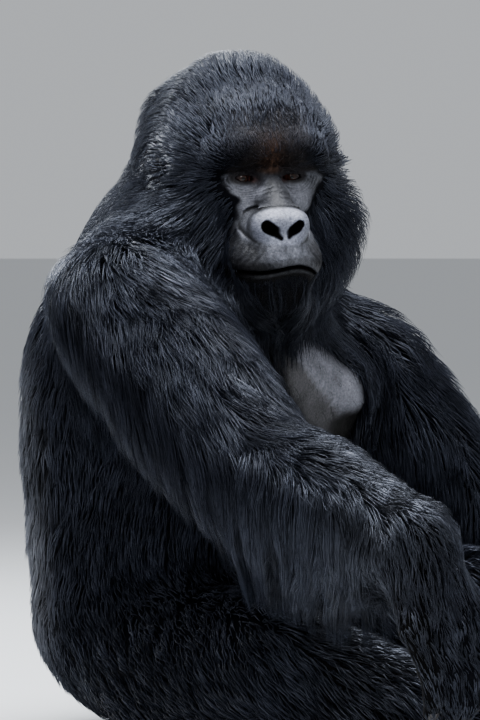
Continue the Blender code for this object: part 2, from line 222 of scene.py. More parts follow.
def mouth_height(x):
    return LIPS(np.clip(x, XS[0], XS[-1]))


def skull(p, m):
    """The head under its coat; m is p mirrored to the left side."""
    brain_case = ellipsoid(p, (0, 153, 50), (106, 126, 94))
    return swollen(brain_case, (
        (p, (0, 163, 98), (74, 106, 64), 22),                # crest
        (p, (0, 74, 58), (88, 86, 66), 24),                  # forehead
        (p, (0, 192, 16), (118, 94, 100), 20),               # back of the head
        (p, (0, 238, 60), (104, 92, 76), 24),                # hump of the nape
        (m, (60, 102, 14), (46, 80, 70), 20),                # temple
        (p, (0, 40, -52), (66, 66, 74), 20),                 # middle of the face
        (m, (80, 86, -64), (44, 62, 68), 20),                # cheek
        (m, (58, 74, -118), (48, 60, 52), 20),               # corner of the jaw
        (p, (0, 94, -112), (88, 78, 66), 24),                # throat
    ))


def brow_ridge(m):
    """One heavy bar over both eyes, which turns down at its ends."""
    d = capsule(m, (0, -7, 42), (34, -5, 39), 25, 24)
    d = merged(d, capsule(m, (34, -5, 39), (62, 13, 30), 24, 20), 12)
    return merged(d, capsule(m, (62, 13, 30), (80, 40, 4), 20, 15), 12)


def nose(p):
    """The bridge in two lengths, then the two wings with the pad's top and bottom."""
    d = capsule(p, (0, 3, 10), (0, -18, -20), 17, 21)
    d = merged(d, capsule(p, (0, -18, -20), (0, -51, -48), 21, 24), 12)
    wings = swollen(ellipsoid(p, (21, -60, -62), (20, 28, 25)), (
        (p, (-23, -58, -62), (22, 28, 25), 6),
        (p, (0, -63, -56), (22, 26, 18), 9),
        (p, (0, -66, -84), (18, 23, 20), 14),
    ))
    return merged(d, wings, 9)


def nostril_distance(p, m):
    """Negative inside the nostrils: a tall drop on its right and a narrow one on its left."""
    right = merged(capsule(p, (-6.5, -91, -68), (-24, -84, -60.5), 3.4, 6.6),
                   capsule(p, (-6.0, -90, -77), (-22, -83, -64), 3.2, 6.6), 4)
    left = merged(capsule(p, (6.0, -91, -70), (21.5, -84, -60), 4.4, 5.4),
                  capsule(p, (6.0, -90, -76), (18, -85, -66), 2.6, 4.4), 3)
    tunnel = capsule(m, (14, -74, -67), (15, -34, -66), 6, 8)
    return merged(np.where(p[:, 0] < 0, right, left), tunnel, 6)


def eye_opening(side, y, z):
    """Negative inside the almond between the lids."""
    out = side - 33.0
    bow = np.sqrt(np.clip(1 - (out / 13.0) ** 2, 0, 1))
    d = np.maximum(z - 4.2 * bow - 0.05 * out, 0.05 * out - 4.0 * bow - z)
    return np.maximum(np.maximum(d, np.abs(out) - 13.0), y - 4.0)


def nose_pad(x, z):
    """1 along the edge of the bare pad round the nostrils, less inside it."""
    return (np.abs(x / np.where(x < 0, 46.0, 41.0)) ** 2.5 + np.abs((z + 63.0) / 27.0) ** 2.5) ** 0.4


def wrinkles(p, m):
    """Height of the fine folds, outwards, in millimetres."""
    x, y, z = p.T
    side = m[:, 0]
    h = np.zeros(len(p), np.float32)
    face = (y < 30) & (z < 70) & (side < 80)
    rough, fine = np.zeros((2, len(p)))
    rough[face] = noise(p[face], 11.0, 31)
    fine[face] = noise(p[face], 3.2, 32)
    strength = np.clip(0.75 + 0.9 * rough, 0.1, 1.6)
    # Arcs across the bridge of the nose.
    arc = z + 0.010 * x**2
    on = hill(side, 0, 19.0) * hill(z, -16, 17.0) * (y < 6)
    h += 0.70 * on * strength * np.sin(arc / 5.6 * 2 * math.pi + 2.2 * rough + 0.5 * np.sin(x * 0.21))
    # Rings under the eyes.
    ring = np.sqrt((side - 35) ** 2 + (1.5 * (z + 1)) ** 2)
    on = hill(ring, 29, 13.0) * (z < 1) * (side > 8) * (y < 30)
    on *= 0.35 + 0.65 * ramp(side, 18, 30)
    h += 0.80 * on * strength * np.sin(ring / 4.6 * 2 * math.pi + 3.2 * rough + 0.7 * np.sin(side * 0.17))
    # Upright folds between the brows, and creases along them.
    on = hill(side, 0, 17.0) * hill(z, 16, 15.0) * (y < 0)
    h += 0.9 * on * strength * np.cos(side / 8.5 * 2 * math.pi + 1.5 * rough)
    # Curved folds round the nose pad, and a ring fold outside them.
    pad = nose_pad(x, z)
    level = hill(z, -54, 25.0) * (y < -14)
    level *= 0.25 + 0.75 * ramp(side, 10, 30)
    h -= 2.4 * level * hill(pad, 1.0, 0.050, 2)
    h += 1.1 * level * hill(pad, 1.10, 0.06, 2)
    h -= 0.5 * level * strength * hill(pad - 1.21 - 0.03 * rough, 0, 0.040, 2)
    # Creases that run down and out from the nose over the lip.
    slant = side + 0.75 * (z + 88)
    on = hill(z, -98, 17.0) * np.clip((side - 22) / 12, 0, 1) * (y < 10)
    h += 0.45 * on * strength * np.sin(slant / 9.0 * 2 * math.pi + 3.0 * rough)
    # Fine upright creases on both lips.
    near = hill(z - mouth_height(x), 0, 12.0, 2) * (y < -20)
    h += 0.22 * near * np.sin(x / 3.9 * 2 * math.pi + np.sin(z * 0.5))
    # A crack at the top of the pad, and the groove under the nose.
    h -= 1.0 * hill(x - 1.5 + 0.12 * (z + 45), 0, 1.1, 2) * hill(z, -45, 6) * (y < -40)
    h -= 1.2 * hill(x, 0, 2.6, 2) * hill(z, -92, 9) * (y < -40)
    # Leathery skin, roughest where the whiskers of the lip grow.
    lip = hill(z, -104, 18.0) * (y < 0)
    return h + fine * (0.24 + 0.36 * lip)


def head_distance(p):
    """The whole bare head: lumps first, then the folds, then what is cut into it."""
    m = mirrored(p)
    _, y, z = p.T
    side = m[:, 0]
    d = skull(p, m)
    d = merged(d, capsule(m, (38, 9, -28), (74, 46, -16), 21, 18), 14)           # cheek bone
    d = swollen(d, (
        (p, (0, -10, -96), (61, 66, 50), 14),                # muzzle
        (p, (0, -34, -106), (57, 52, 28), 14),               # upper lip
        (p, (0, -52, -94), (34, 32, 18), 16),                # under the nose
        (m, (36, -36, -114), (25, 38, 25), 12),              # hanging corners of the upper lip
        (p, (0, -18, -137), (51, 47, 16), 10),               # lower lip
        (p, (0, -10, -158), (48, 50, 32), 16),               # chin
    ))
    d = merged(d, brow_ridge(m), 30)
    d = merged(d, nose(p), 12)
    d = carved(d, ellipsoid(m, (36, -21, -3), (21, 23, 12)), 9)                  # socket
    eye = np.sqrt(((m - np.asarray(EYE_AT, np.float32)) ** 2).sum(-1))
    d = merged(d, ellipsoid(m, (35, 5, -8), (19, 14, 11)), 8)                    # pouch under the eye
    d = merged(d, eye - EYEBALL - LID, 4)
    d = d - wrinkles(p, m)
    d = carved(d, eye_opening(side, y, z), 1.2)
    d = carved(d, eye - EYEBALL - 0.1, 0.6)
    d = carved(d, nostril_distance(p, m), 2.5)
    parting = np.abs(z - mouth_height(p[:, 0])) - 1.2
    parting = np.maximum(parting, side - MOUTH_CORNER)
    parting = np.maximum(parting, y + 36 - 0.0045 * side**2)
    d = carved(d, parting, 3.4)
    ear = merged(ellipsoid(m, EAR_AT, (6, 17, 25)), capsule(m, (94, 121, 0), (123, 116, 0), 20, 12), 6)
    return merged(d, carved(ear, ellipsoid(m, (135, 107, 6), (10, 11, 17)), 3), 6)


def in_box(p, low, high):
    """Distance to a box, negative inside it."""
    return np.maximum(np.asarray(low, np.float32) - p, p - np.asarray(high, np.float32)).max(-1)


def fine_face(p):
    return np.maximum(head_distance(p), in_box(p, *FACE_BOX))


def coarse_head(p):
    low, high = (np.array(corner, float) for corner in FACE_BOX)
    low[1] -= 50
    return np.maximum(head_distance(p), -in_box(p, low + (OVERLAP, 0, OVERLAP), high - OVERLAP))


# ---- hands and feet, in metres in the modelling axes ----------------------------------
WRIST = (Vector((-0.350, -0.575, 0.318)), Vector((0.378, -0.490, 0.066)))
ANKLE = (Vector((-0.200, -0.560, 0.080)), Vector((0.108, -0.590, 0.080)))
ELBOW = (Vector((-0.322, -0.300, 0.384)), Vector((0.355, -0.180, 0.206)))
SHOULDER = (Vector((-0.247, 0.005, 0.600)), Vector((0.203, -0.035, 0.514)))
HIP = (Vector((-0.128, 0.020, 0.126)), Vector((0.116, 0.020, 0.126)))
KNEE = (Vector((-0.268, -0.315, 0.140)), Vector((0.126, -0.350, 0.196)))
HAND_WAY = (((0.10, -0.40, -0.91), (-0.22, -0.88, 0.42)), ((-0.06, -0.94, -0.33), (0.02, -0.30, 0.95)))
HAND_BENDS = ((8, 20, 26), (-9, -6, 6))
HAND_STEP, FOOT_STEP = 2.8, 3.4


def axes_from(forward, up):
    """Rotation whose -Y is forward and whose +Z is as near up as can be."""
    back = -Vector(forward).normalized()
    side = back.cross(Vector(up)).normalized()
    return Matrix((side, back, side.cross(back))).transposed()


def digit(root, way, curl_axis, back, bends, lengths, radii):
    """Joints and radii of a finger or toe, with the way its nail faces."""
    joints, angle = [root], 0.0
    for bend, length in zip(bends, lengths):
        angle += math.radians(bend)
        turn = Matrix.Rotation(angle, 3, curl_axis)
        root = root + turn @ way * length
        joints.append(root)
    return {"joints": joints, "radii": radii, "nail": turn @ back}


def hand_parts(side):
    wrist, inward = WRIST[side], (1, -1)[side]
    turn = axes_from(*HAND_WAY[side])
    out, back, curl = turn @ Vector((0, -1, 0)), turn @ Vector((0, 0, 1)), turn @ Vector((1, 0, 0))
    across = curl * inward
    toward = (ELBOW[side] - wrist).normalized()
    flesh = [(wrist + toward * 0.065, wrist, 0.036, 0.038), (wrist, wrist + out * 0.030, 0.038, 0.036)]
    flesh += [(wrist + out * 0.030 + across * 0.020, wrist + out * 0.095 + across * 0.030, 0.032, 0.023)]
    flesh += [(wrist + out * 0.030 - across * 0.020, wrist + out * 0.088 - across * 0.034, 0.031, 0.022)]
    digits = []
    for place, far in zip((1.5, 0.5, -0.5, -1.5), (0.108, 0.118, 0.114, 0.100)):
        root = wrist + across * place * 0.034 + out * far
        fan = Matrix.Rotation(math.radians(-5.0) * place * inward, 3, back)
        digits.append(digit(root, fan @ out, curl, back, HAND_BENDS[side], (0.054, 0.037, 0.026),
                            (0.0160, 0.0142, 0.0128, 0.0100)))
        flesh.append((wrist + out * 0.02 + across * place * 0.016, root, 0.022, 0.0165))
    thumb = wrist + out * 0.045 + across * 0.050 - back * 0.008
    way = (out + across * 0.55 - back * 0.20).normalized()
    digits.append(digit(thumb, way, curl, (back + across * 0.7).normalized(), (0, 8, 12),
                        (0.036, 0.028, 0.018), (0.0175, 0.0150, 0.0135, 0.0100)))
    return flesh, digits


def foot_parts(side):
    ankle, inward = ANKLE[side], (1, -1)[side]
    turn = axes_from((inward * 0.06, -1.0, 0.0), (-inward * 0.16, 0.0, 0.98))
    out, up, curl = turn @ Vector((0, -1, 0)), turn @ Vector((0, 0, 1)), turn @ Vector((1, 0, 0))
    across = curl * inward
    heel, ball = ankle - out * 0.030 - up * 0.036, ankle + out * 0.125 - up * 0.054
    toward = (KNEE[side] - ankle).normalized()
    flesh = [(ankle + toward * 0.065, ankle, 0.038, 0.044), (ankle, heel, 0.046, 0.042),
             (heel, ball, 0.040, 0.028)]
    flesh += [(ankle, ball + across * 0.012, 0.044, 0.027), (ankle, ball - across * 0.030, 0.036, 0.024)]
    digits = []
    for place, far in zip((1.1, 0.3, -0.5, -1.3), (0.042, 0.046, 0.041, 0.030)):
        root = ball + across * place * 0.033 + out * far
        digits.append(digit(root, out, curl, up, (6, 10, 14), (0.036, 0.027, 0.019),
                            (0.0145, 0.0135, 0.0125, 0.0102)))
        flesh.append((ball - out * 0.03 + across * place * 0.02, root, 0.024, 0.0150))
    great = ankle + out * 0.070 + across * 0.042 - up * 0.056
    way = (out + across * 0.62).normalized()
    digits.append(digit(great, way, curl, up, (0, 6, 10), (0.048, 0.038, 0.026),
                        (0.0225, 0.0205, 0.0185, 0.0145)))
    return flesh, digits


def limb_end_distance(flesh, digits):
    """A hand or foot as a distance, in millimetres in the modelling axes."""
    def mm(vector):
        return np.array(vector) * 1000.0

    def distance(p):
        d = np.full(len(p), 1e3, np.float32)
        for start, end, one, two in flesh:
            d = merged(d, capsule(p, mm(start), mm(end), one * 1000, two * 1000), 9)
        for chain in digits:
            joints, radii = chain["joints"], chain["radii"]
            finger = np.full(len(p), 1e3, np.float32)
            for i in range(len(joints) - 1):
                finger = merged(finger, capsule(p, mm(joints[i]), mm(joints[i + 1]),
                                                radii[i] * 1000, radii[i + 1] * 1000), 2)
            for joint, radius in zip(joints[:-1], radii):
                gap = np.sqrt(((p - mm(joint)) ** 2).sum(-1))
                finger = merged(finger, gap - radius * 1000 - 0.7, 5)
                fold = np.abs(gap - radius * 500)
                finger = finger + 0.35 * hill(fold, 0, 2.0, 2)
            d = merged(d, finger, 5)
        return np.maximum(d, -p[:, 2] + 0.4)
    return distance


# ---- meshes -----------------------------------------------------------------------------
def object_of(name, mesh):
    obj = bpy.data.objects.new(name, mesh)
    bpy.context.scene.collection.objects.link(obj)
    return obj


def mesh_of(name, points, faces):
    """A mesh of one kind of polygon, from arrays."""
    mesh = bpy.data.meshes.new(name)
    count, sides = faces.shape
    mesh.vertices.add(len(points))
    mesh.vertices.foreach_set("co", np.ascontiguousarray(points, np.float32).ravel())
    mesh.loops.add(count * sides)
    mesh.loops.foreach_set("vertex_index", np.ascontiguousarray(faces, np.int32).ravel())
    mesh.polygons.add(count)
    mesh.polygons.foreach_set("loop_start", np.arange(0, count * sides, sides, dtype=np.int32))
    mesh.update(calc_edges=True)
    return mesh


def applied(obj):
    """The object's mesh with its modifiers applied; the object is removed."""
    bpy.context.view_layer.update()
    graph = bpy.context.evaluated_depsgraph_get()
    mesh = bpy.data.meshes.new_from_object(obj.evaluated_get(graph), depsgraph=graph)
    bpy.data.objects.remove(obj)
    return mesh


def read(items, name, width, kind=np.int32):
    """One property of all items of a mesh, a row for each."""
    flat = np.empty(len(items) * width, kind)
    items.foreach_get(name, flat)
    return flat.reshape(-1, width)


def points_of(mesh):
    return read(mesh.vertices, "co", 3, np.float32).astype(float)


def normals_of(mesh):
    return read(mesh.vertices, "normal", 3, np.float32).astype(float)


def edges_of(mesh):
    return read(mesh.edges, "vertices", 2)


def set_points(mesh, places):
    mesh.vertices.foreach_set("co", places.astype(np.float32).ravel())


def set_map(mesh, uv):
    layer = mesh.uv_layers.new(name="OFBake", do_init=False)
    layer.uv.foreach_set("vector", uv.astype(np.float32).ravel())


def spread(values, edges, rounds, keep=0.0):
    """Values averaged with their neighbours over a mesh, a few times."""
    one, two = edges.T
    count = np.bincount(one, minlength=len(values)) + np.bincount(two, minlength=len(values))
    flat = values.reshape(len(values), -1)
    for _ in range(rounds):
        total = np.stack([np.bincount(one, column[two], len(flat)) + np.bincount(two, column[one], len(flat))
                          for column in flat.T], 1)
        flat = flat * keep + (1 - keep) * total / np.maximum(count, 1)[:, None]
    return flat.reshape(values.shape)


def remeshed(mesh, size):
    obj = object_of("remeshing", mesh)
    join = obj.modifiers.new("join", "REMESH")
    join.mode, join.voxel_size, join.use_smooth_shade = "VOXEL", size, True
    return applied(obj)


def united(meshes):
    """The union of closed meshes, by exact Boolean."""
    body = object_of("uniting", meshes[0])
    tools = [object_of("tool", mesh) for mesh in meshes[1:]]
    for tool in tools:
        unite = body.modifiers.new("unite", "BOOLEAN")
        unite.operation, unite.solver, unite.object = "UNION", "EXACT", tool
    result = applied(body)
    for tool in tools:
        bpy.data.objects.remove(tool)
    return result


# ---- the skin ------------------------------------------------------------------------------
BODY_NODES = ("head", "neck", "trunk", "upper_arm_r", "upper_arm_l", "forearm_r", "forearm_l",
              "thigh_r", "thigh_l", "shin_r", "shin_l")
END_NODES = ("hand_r", "hand_l", "foot_r", "foot_l")
FLESH_NODES = BODY_NODES + END_NODES + ("ear_r", "ear_l")
COAT_DEPTH = {"head": 0.036, "neck": 0.026, "trunk": 0.017, "upper_arm": 0.028, "forearm": 0.028,
              "thigh": 0.017, "shin": 0.020}
FRINGE = {"upper_arm": 0.022, "forearm": 0.036}                        # more depth where the coat hangs
CROWN_DEPTH = 0.021
BODY_STEP = 0.0085
CHEST, CHEST_REACH = (0.026, -0.150, 0.502), (0.092, 0.115, 0.094)    # the bare breast, modelling axes
CHEST_SLANT = 0.6                                                      # its edge runs out as it goes down
CREASE_SLOPE = 1.15                                                    # across for each metre down


def cad_surface(names):
    """The CAD nodes of some names as one tree of triangles, with the name of each triangle."""
    points, triangles, owners = [], [], []
    for name in names:
        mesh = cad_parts[name].data
        mesh.calc_loop_triangles()
        base = len(points)
        points += [vertex.co.copy() for vertex in mesh.vertices]
        triangles += [tuple(base + i for i in triangle.vertices) for triangle in mesh.loop_triangles]
        owners += [name] * len(mesh.loop_triangles)
    return BVHTree.FromPolygons(points, triangles), owners, points, triangles


def short_name(node):
    return node.rsplit("_", 1)[0] if node.endswith(("_r", "_l")) else node


def past_crease(x, z):
    """How far a point of the chest lies up and out from the slanting crease between its halves."""
    return (x + 0.013 - CREASE_SLOPE * (0.517 - z)) / math.hypot(1, CREASE_SLOPE)


def bare_chest(points):
    """1 on the bare breast and 0 in the coat."""
    x, _, z = to_model(points).T
    apart = to_model(points) - CHEST
    apart[:, 0] += CHEST_SLANT * apart[:, 2]
    gap = np.sqrt(((apart / CHEST_REACH) ** 2).sum(-1)) + 0.05 * noise(points, 0.012, 41)
    upper_edge = 1 - ramp(past_crease(x, z) + 0.004 * noise(points, 0.012, 45), 0.054, 0.068)
    return np.clip((1.15 - gap) / 0.30, 0, 1) * upper_edge


def breast_hollows(points):
    """How far the skin sinks under and between the two halves of the breast."""
    x, y, z = to_model(points).T
    front = ramp(-y, 0.06, 0.11) * (np.abs(x - 0.02) < 0.16)
    below = ramp(-z, -0.468, -0.438) * (1 - ramp(-z, -0.43, -0.34))
    out = past_crease(x, z)
    crease = hill(out, 0, 0.0065, 2) * ramp(z, 0.445, 0.465) * (1 - ramp(z, 0.55, 0.58))
    fold = hill(out, 0.033, 0.004, 2) * ramp(z, 0.49, 0.51) * (1 - ramp(z, 0.55, 0.57))
    side = (1 - ramp(out, -0.055, -0.030)) * ramp(z, 0.44, 0.48) * (1 - ramp(z, 0.52, 0.56))
    return front * (0.016 * below + 0.010 * crease - 0.003 * fold + 0.008 * side)


def body_skin():
    """The body without head, hands and feet, drawn in by the depth of its coat."""
    tree, owners, points, triangles = cad_surface(BODY_NODES)
    joined = bpy.data.meshes.new("body")
    joined.from_pydata(points, [], triangles)
    mesh = remeshed(joined, BODY_STEP)
    places, normals, edges = points_of(mesh), normals_of(mesh), edges_of(mesh)
    owner = [owners[tree.find_nearest(place)[2]] for place in places]
    depth = np.array([COAT_DEPTH[short_name(node)] for node in owner])
    for limb, more in FRINGE.items():
        own = np.array([node.startswith(limb) for node in owner])
        depth += more * ramp(-normals[:, 2], -0.45, 0.6) * own
    depth = depth * (1 - bare_chest(places)) + 0.001 * bare_chest(places)
    low = places[:, 2] < 0.004
    depth[low] = 0.0
    trunk = np.array([node == "trunk" for node in owner])
    depth = spread(depth, edges, 10) + breast_hollows(places) * trunk
    normals = spread(normals, edges, 14)
    normals /= np.linalg.norm(normals, axis=1)[:, None]
    places -= normals * depth[:, None]
    places = spread(places, edges, 14, keep=0.4)
    places[:, 2] = np.maximum(places[:, 2], 0.0006)
    set_points(mesh, places)
    return remeshed(mesh, BODY_STEP)


def filled_out(places, edges):
    """The head's skin moved so that it lies by the coat's depth inside the model."""
    h = to_head(places)
    tree = cad_surface(("head",))[0]
    near = np.flatnonzero((h[:, 2] > -40) & (h[:, 1] > 30) & (np.linalg.norm(h, axis=1) < 380))
    side = np.abs(h[near, 0])
    covered = ramp(h[near, 2], -30, 30) * ramp(h[near, 1], 40, 90)
    from_ear = (np.stack([side, h[near, 1], h[near, 2]], 1) - EAR_AT) / (30, 34, 42)
    covered *= ramp(np.linalg.norm(from_ear, axis=1), 0.8, 1.3)
    move = np.zeros(len(places))
    normals = np.zeros((len(places), 3))
    for i, share in zip(near, covered):
        if share > 0:
            spot, normal, _, gap = tree.find_nearest(places[i])
            inside = (Vector(places[i]) - spot).dot(normal) < 0
            move[i] = share * min(max((gap if inside else -gap) - CROWN_DEPTH, -0.010), 0.030)
            normals[i] = normal
    move = spread(move, edges, 30, keep=0.2)
    return places + unit(spread(normals, edges, 12)) * move[:, None]


def skin_mesh():
    pieces = [body_skin()]
    low, high = (np.array(corner, float) for corner in FACE_BOX)
    for name, shape, box, step in (("face", fine_face, (low - 4, high + 4), FACE_STEP),
                                   ("skull", coarse_head, HEAD_BOX, HEAD_STEP)):
        points, quads = surface_of(shape, *box, step)
        pieces.append(mesh_of(name, from_head(points), quads))
    for parts, step, reach in ((hand_parts, HAND_STEP, 22), (foot_parts, FOOT_STEP, 26)):
        for side in (0, 1):
            flesh, digits = parts(side)
            ends = [point for start, end, *_ in flesh for point in (start, end)]
            ends += [joint for chain in digits for joint in chain["joints"]]
            ends = np.array(ends) * 1000.0
            extra = reach + 24
            points, quads = surface_of(limb_end_distance(flesh, digits), ends.min(0) - extra,
                                       ends.max(0) + extra, step)
            pieces.append(mesh_of("end", points / 1000.0 + SHIFT, quads))
    whole = united(pieces)
    places, edges = points_of(whole), edges_of(whole)
    weight = np.zeros(len(places))
    for joint, reach in ((WRIST, 0.055), (ANKLE, 0.060)):
        for side in (0, 1):
            nearer = (ELBOW, KNEE)[joint is ANKLE][side]
            seam = joint[side] + (nearer - joint[side]).normalized() * 0.012 + TO_FRAME
            gap = np.linalg.norm(places - np.array(seam), axis=1)
            weight = np.maximum(weight, np.clip((reach - gap) / 0.020, 0, 1))
    for _ in range(16):
        places += (spread(places, edges, 1) - places) * weight[:, None] * 0.6
    places = filled_out(places, edges)
    set_points(whole, places)
    whole.update()
    return whole


# ---- noise -------------------------------------------------------------------------------
def hashed(cells, seed):
    """A steady number from 0 to 1 for each whole-numbered cell."""
    x, y, z = cells.astype(np.int64).T
    n = (x * 374761393 + y * 668265263 + z * 2147483647 + seed * 1274126177) & 0x7FFFFFFF
    n = ((n ^ (n >> 13)) * 1274126177) & 0x7FFFFFFF
    return ((n ^ (n >> 16)) & 0xFFFFF) / float(0xFFFFF)


def noise(points, size, seed=0):
    """Smooth noise from -1 to 1 that changes over about the given size."""
    q = points / size
    cell = np.floor(q)
    share = q - cell
    share = share * share * (3 - 2 * share)
    total = np.zeros(len(points))
    for i in (0, 1):
        for j in (0, 1):
            for k in (0, 1):
                weight = 1.0
                for axis, far in enumerate((i, j, k)):
                    weight = weight * np.where(far, share[:, axis], 1 - share[:, axis])
                total += weight * hashed(cell + (i, j, k), seed)
    return total * 2 - 1


def mixed(a, b, share):
    return a + (np.asarray(b, float) - a) * share[:, None]


# ---- markings, with painted light and shade, the same for skin and coat --------------------
BLACK = (0.0056, 0.0062, 0.0100)
SILVER = (0.120, 0.122, 0.132)
BROW_HAIR = (0.0058, 0.0042, 0.0036)
BROW_BROWN = (0.0125, 0.0070, 0.0048)
FACE_GREY = (0.054, 0.056, 0.066)
PAD_GREY = (0.232, 0.244, 0.308)
LIP_GREY = (0.215, 0.222, 0.266)
BROW_SKIN = (0.012, 0.010, 0.0095)
BROW_RED = (0.055, 0.028, 0.017)
# Dark skin, also used as painted shade in grooves, under the brow and on the side turned from the light.
DARK_SKIN_AND_SHADE = (0.0145, 0.0148, 0.0175)
# Painted shade: the deepest black, inside the nostrils, in the parting of the lips and under the lip's
# corners.
SHADE_BLACK = (0.0015, 0.0012, 0.0014)
BRIDGE_GREY = (0.019, 0.0195, 0.0232)
# Painted light: the pale grey of the skin under the eyes.
UNDER_EYE_LIT = (0.150, 0.153, 0.180)
# Painted highlight: the pale grey of the fold's ridge round the nose pad.
FOLD_LIT_GREY = (0.150, 0.154, 0.184)
# The grey of the bare breast, made pale as painted light.
CHEST_LIT_GREY = (0.176, 0.178, 0.208)
# Painted shade on the lobe of the breast below its crease.
LOBE_SHADE = (0.056, 0.054, 0.058)
PALM = (0.010, 0.0095, 0.0108)
BARE_EDGE = ((-170, 22), (-150, 36), (-136, 50), (-125, 60), (-115, 65), (-100, 66), (-80, 58), (-65, 53),
             (-48, 49), (-34, 51), (-20, 60), (-4, 69), (6, 73), (14, 66), (24, 52), (40, 40), (58, 26),
             (70, 2))                          # (z, x) of the bare face's edge


def coat_colour(points):
    """Colour of the hair whose root is at each point of the frame."""
    q = to_model(points)
    colour = np.tile(BLACK, (len(points), 1)).astype(float)
    saddle = ramp(q[:, 1], 0.130, 0.210) * ramp(q[:, 2], 0.10, 0.22) * (1 - ramp(q[:, 2], 0.46, 0.60))
    saddle *= np.clip(0.75 + 0.5 * noise(points, 0.045, 3), 0, 1)
    colour = mixed(colour, SILVER, saddle * 0.85)
    h = to_head(points)
    brow = hill(h[:, 0], 0, 48) * ramp(h[:, 2], -8, 12) * (1 - ramp(h[:, 2], 70, 100)) * (h[:, 1] < 66)
    middle = brow * hill(h[:, 0], 0, 15, 2) * (1 - ramp(h[:, 2], 40, 75))
    chin = ramp(-h[:, 2], 132, 150) * (1 - ramp(h[:, 1], 10, 60)) * hill(h[:, 0], 0, 60)
    colour = mixed(colour, (0.0040, 0.0036, 0.0038), chin)
    return mixed(mixed(colour, BROW_HAIR, brow * 0.92), BROW_BROWN, middle)


def coat_gloss(points):
    """Gloss of the coat: high on near shoulder, forearm and cheeks, low on the crown and over the eyes."""
    x, y, z = to_model(points).T
    h = to_head(points)
    gloss = np.ones(len(points))
    near_arm = 1 - ramp(x, -0.20, -0.10)
    gloss += near_arm * (0.70 * ramp(z, 0.640, 0.690) + 0.80 * ramp(-y, 0.32, 0.42))
    gloss -= near_arm * 0.42 * hill(y, -0.08, 0.20) * (1 - ramp(z, 0.620, 0.670))
    on_head = 1 - ramp(np.linalg.norm((h - (0, 90, 0)) / (1, 1.2, 1.3), axis=1), 150, 180)
    gloss += on_head * (0.35 * (1 - ramp(h[:, 2], -10, 40)) - 0.22 * ramp(h[:, 2], 50, 90))
    shaded = hill(h[:, 2], 24, 24) * (1 - ramp(h[:, 1], 30, 80))
    return gloss * (1 - 0.55 * on_head * shaded)


def bare_face(h):
    """1 on the bare face and 0 in the coat, for points in the head's axes."""
    zs, xs = zip(*BARE_EDGE)
    edge = np.interp(h[:, 2], zs, xs)
    ragged = 4.0 * noise(h, 9.0, 5)
    # The hair is fuller on its right, and the bare skin wider on its left.
    edge += np.where(h[:, 0] < 0, -1.5 * ramp(h[:, 2], -92, -76) - 7.5 * ramp(h[:, 2], -48, -30),
                     11.0 * ramp(h[:, 2], -50, -40) * (1 - ramp(h[:, 2], -4, 6)))
    return ramp(edge - np.abs(h[:, 0]) + ragged, -3, 6) * (1 - ramp(h[:, 1], 34, 52))


def bridge_wedge(x, z):
    """1 on the dark top of the bridge, which widens from between the eyes down to the pad."""
    wedge = 1 - ramp(np.abs(x - 2) - 0.72 * np.clip(-z - 6, 0, 40), 5, 14)
    return wedge * ramp(z, -50, -38) * (1 - ramp(z, 8, 16))


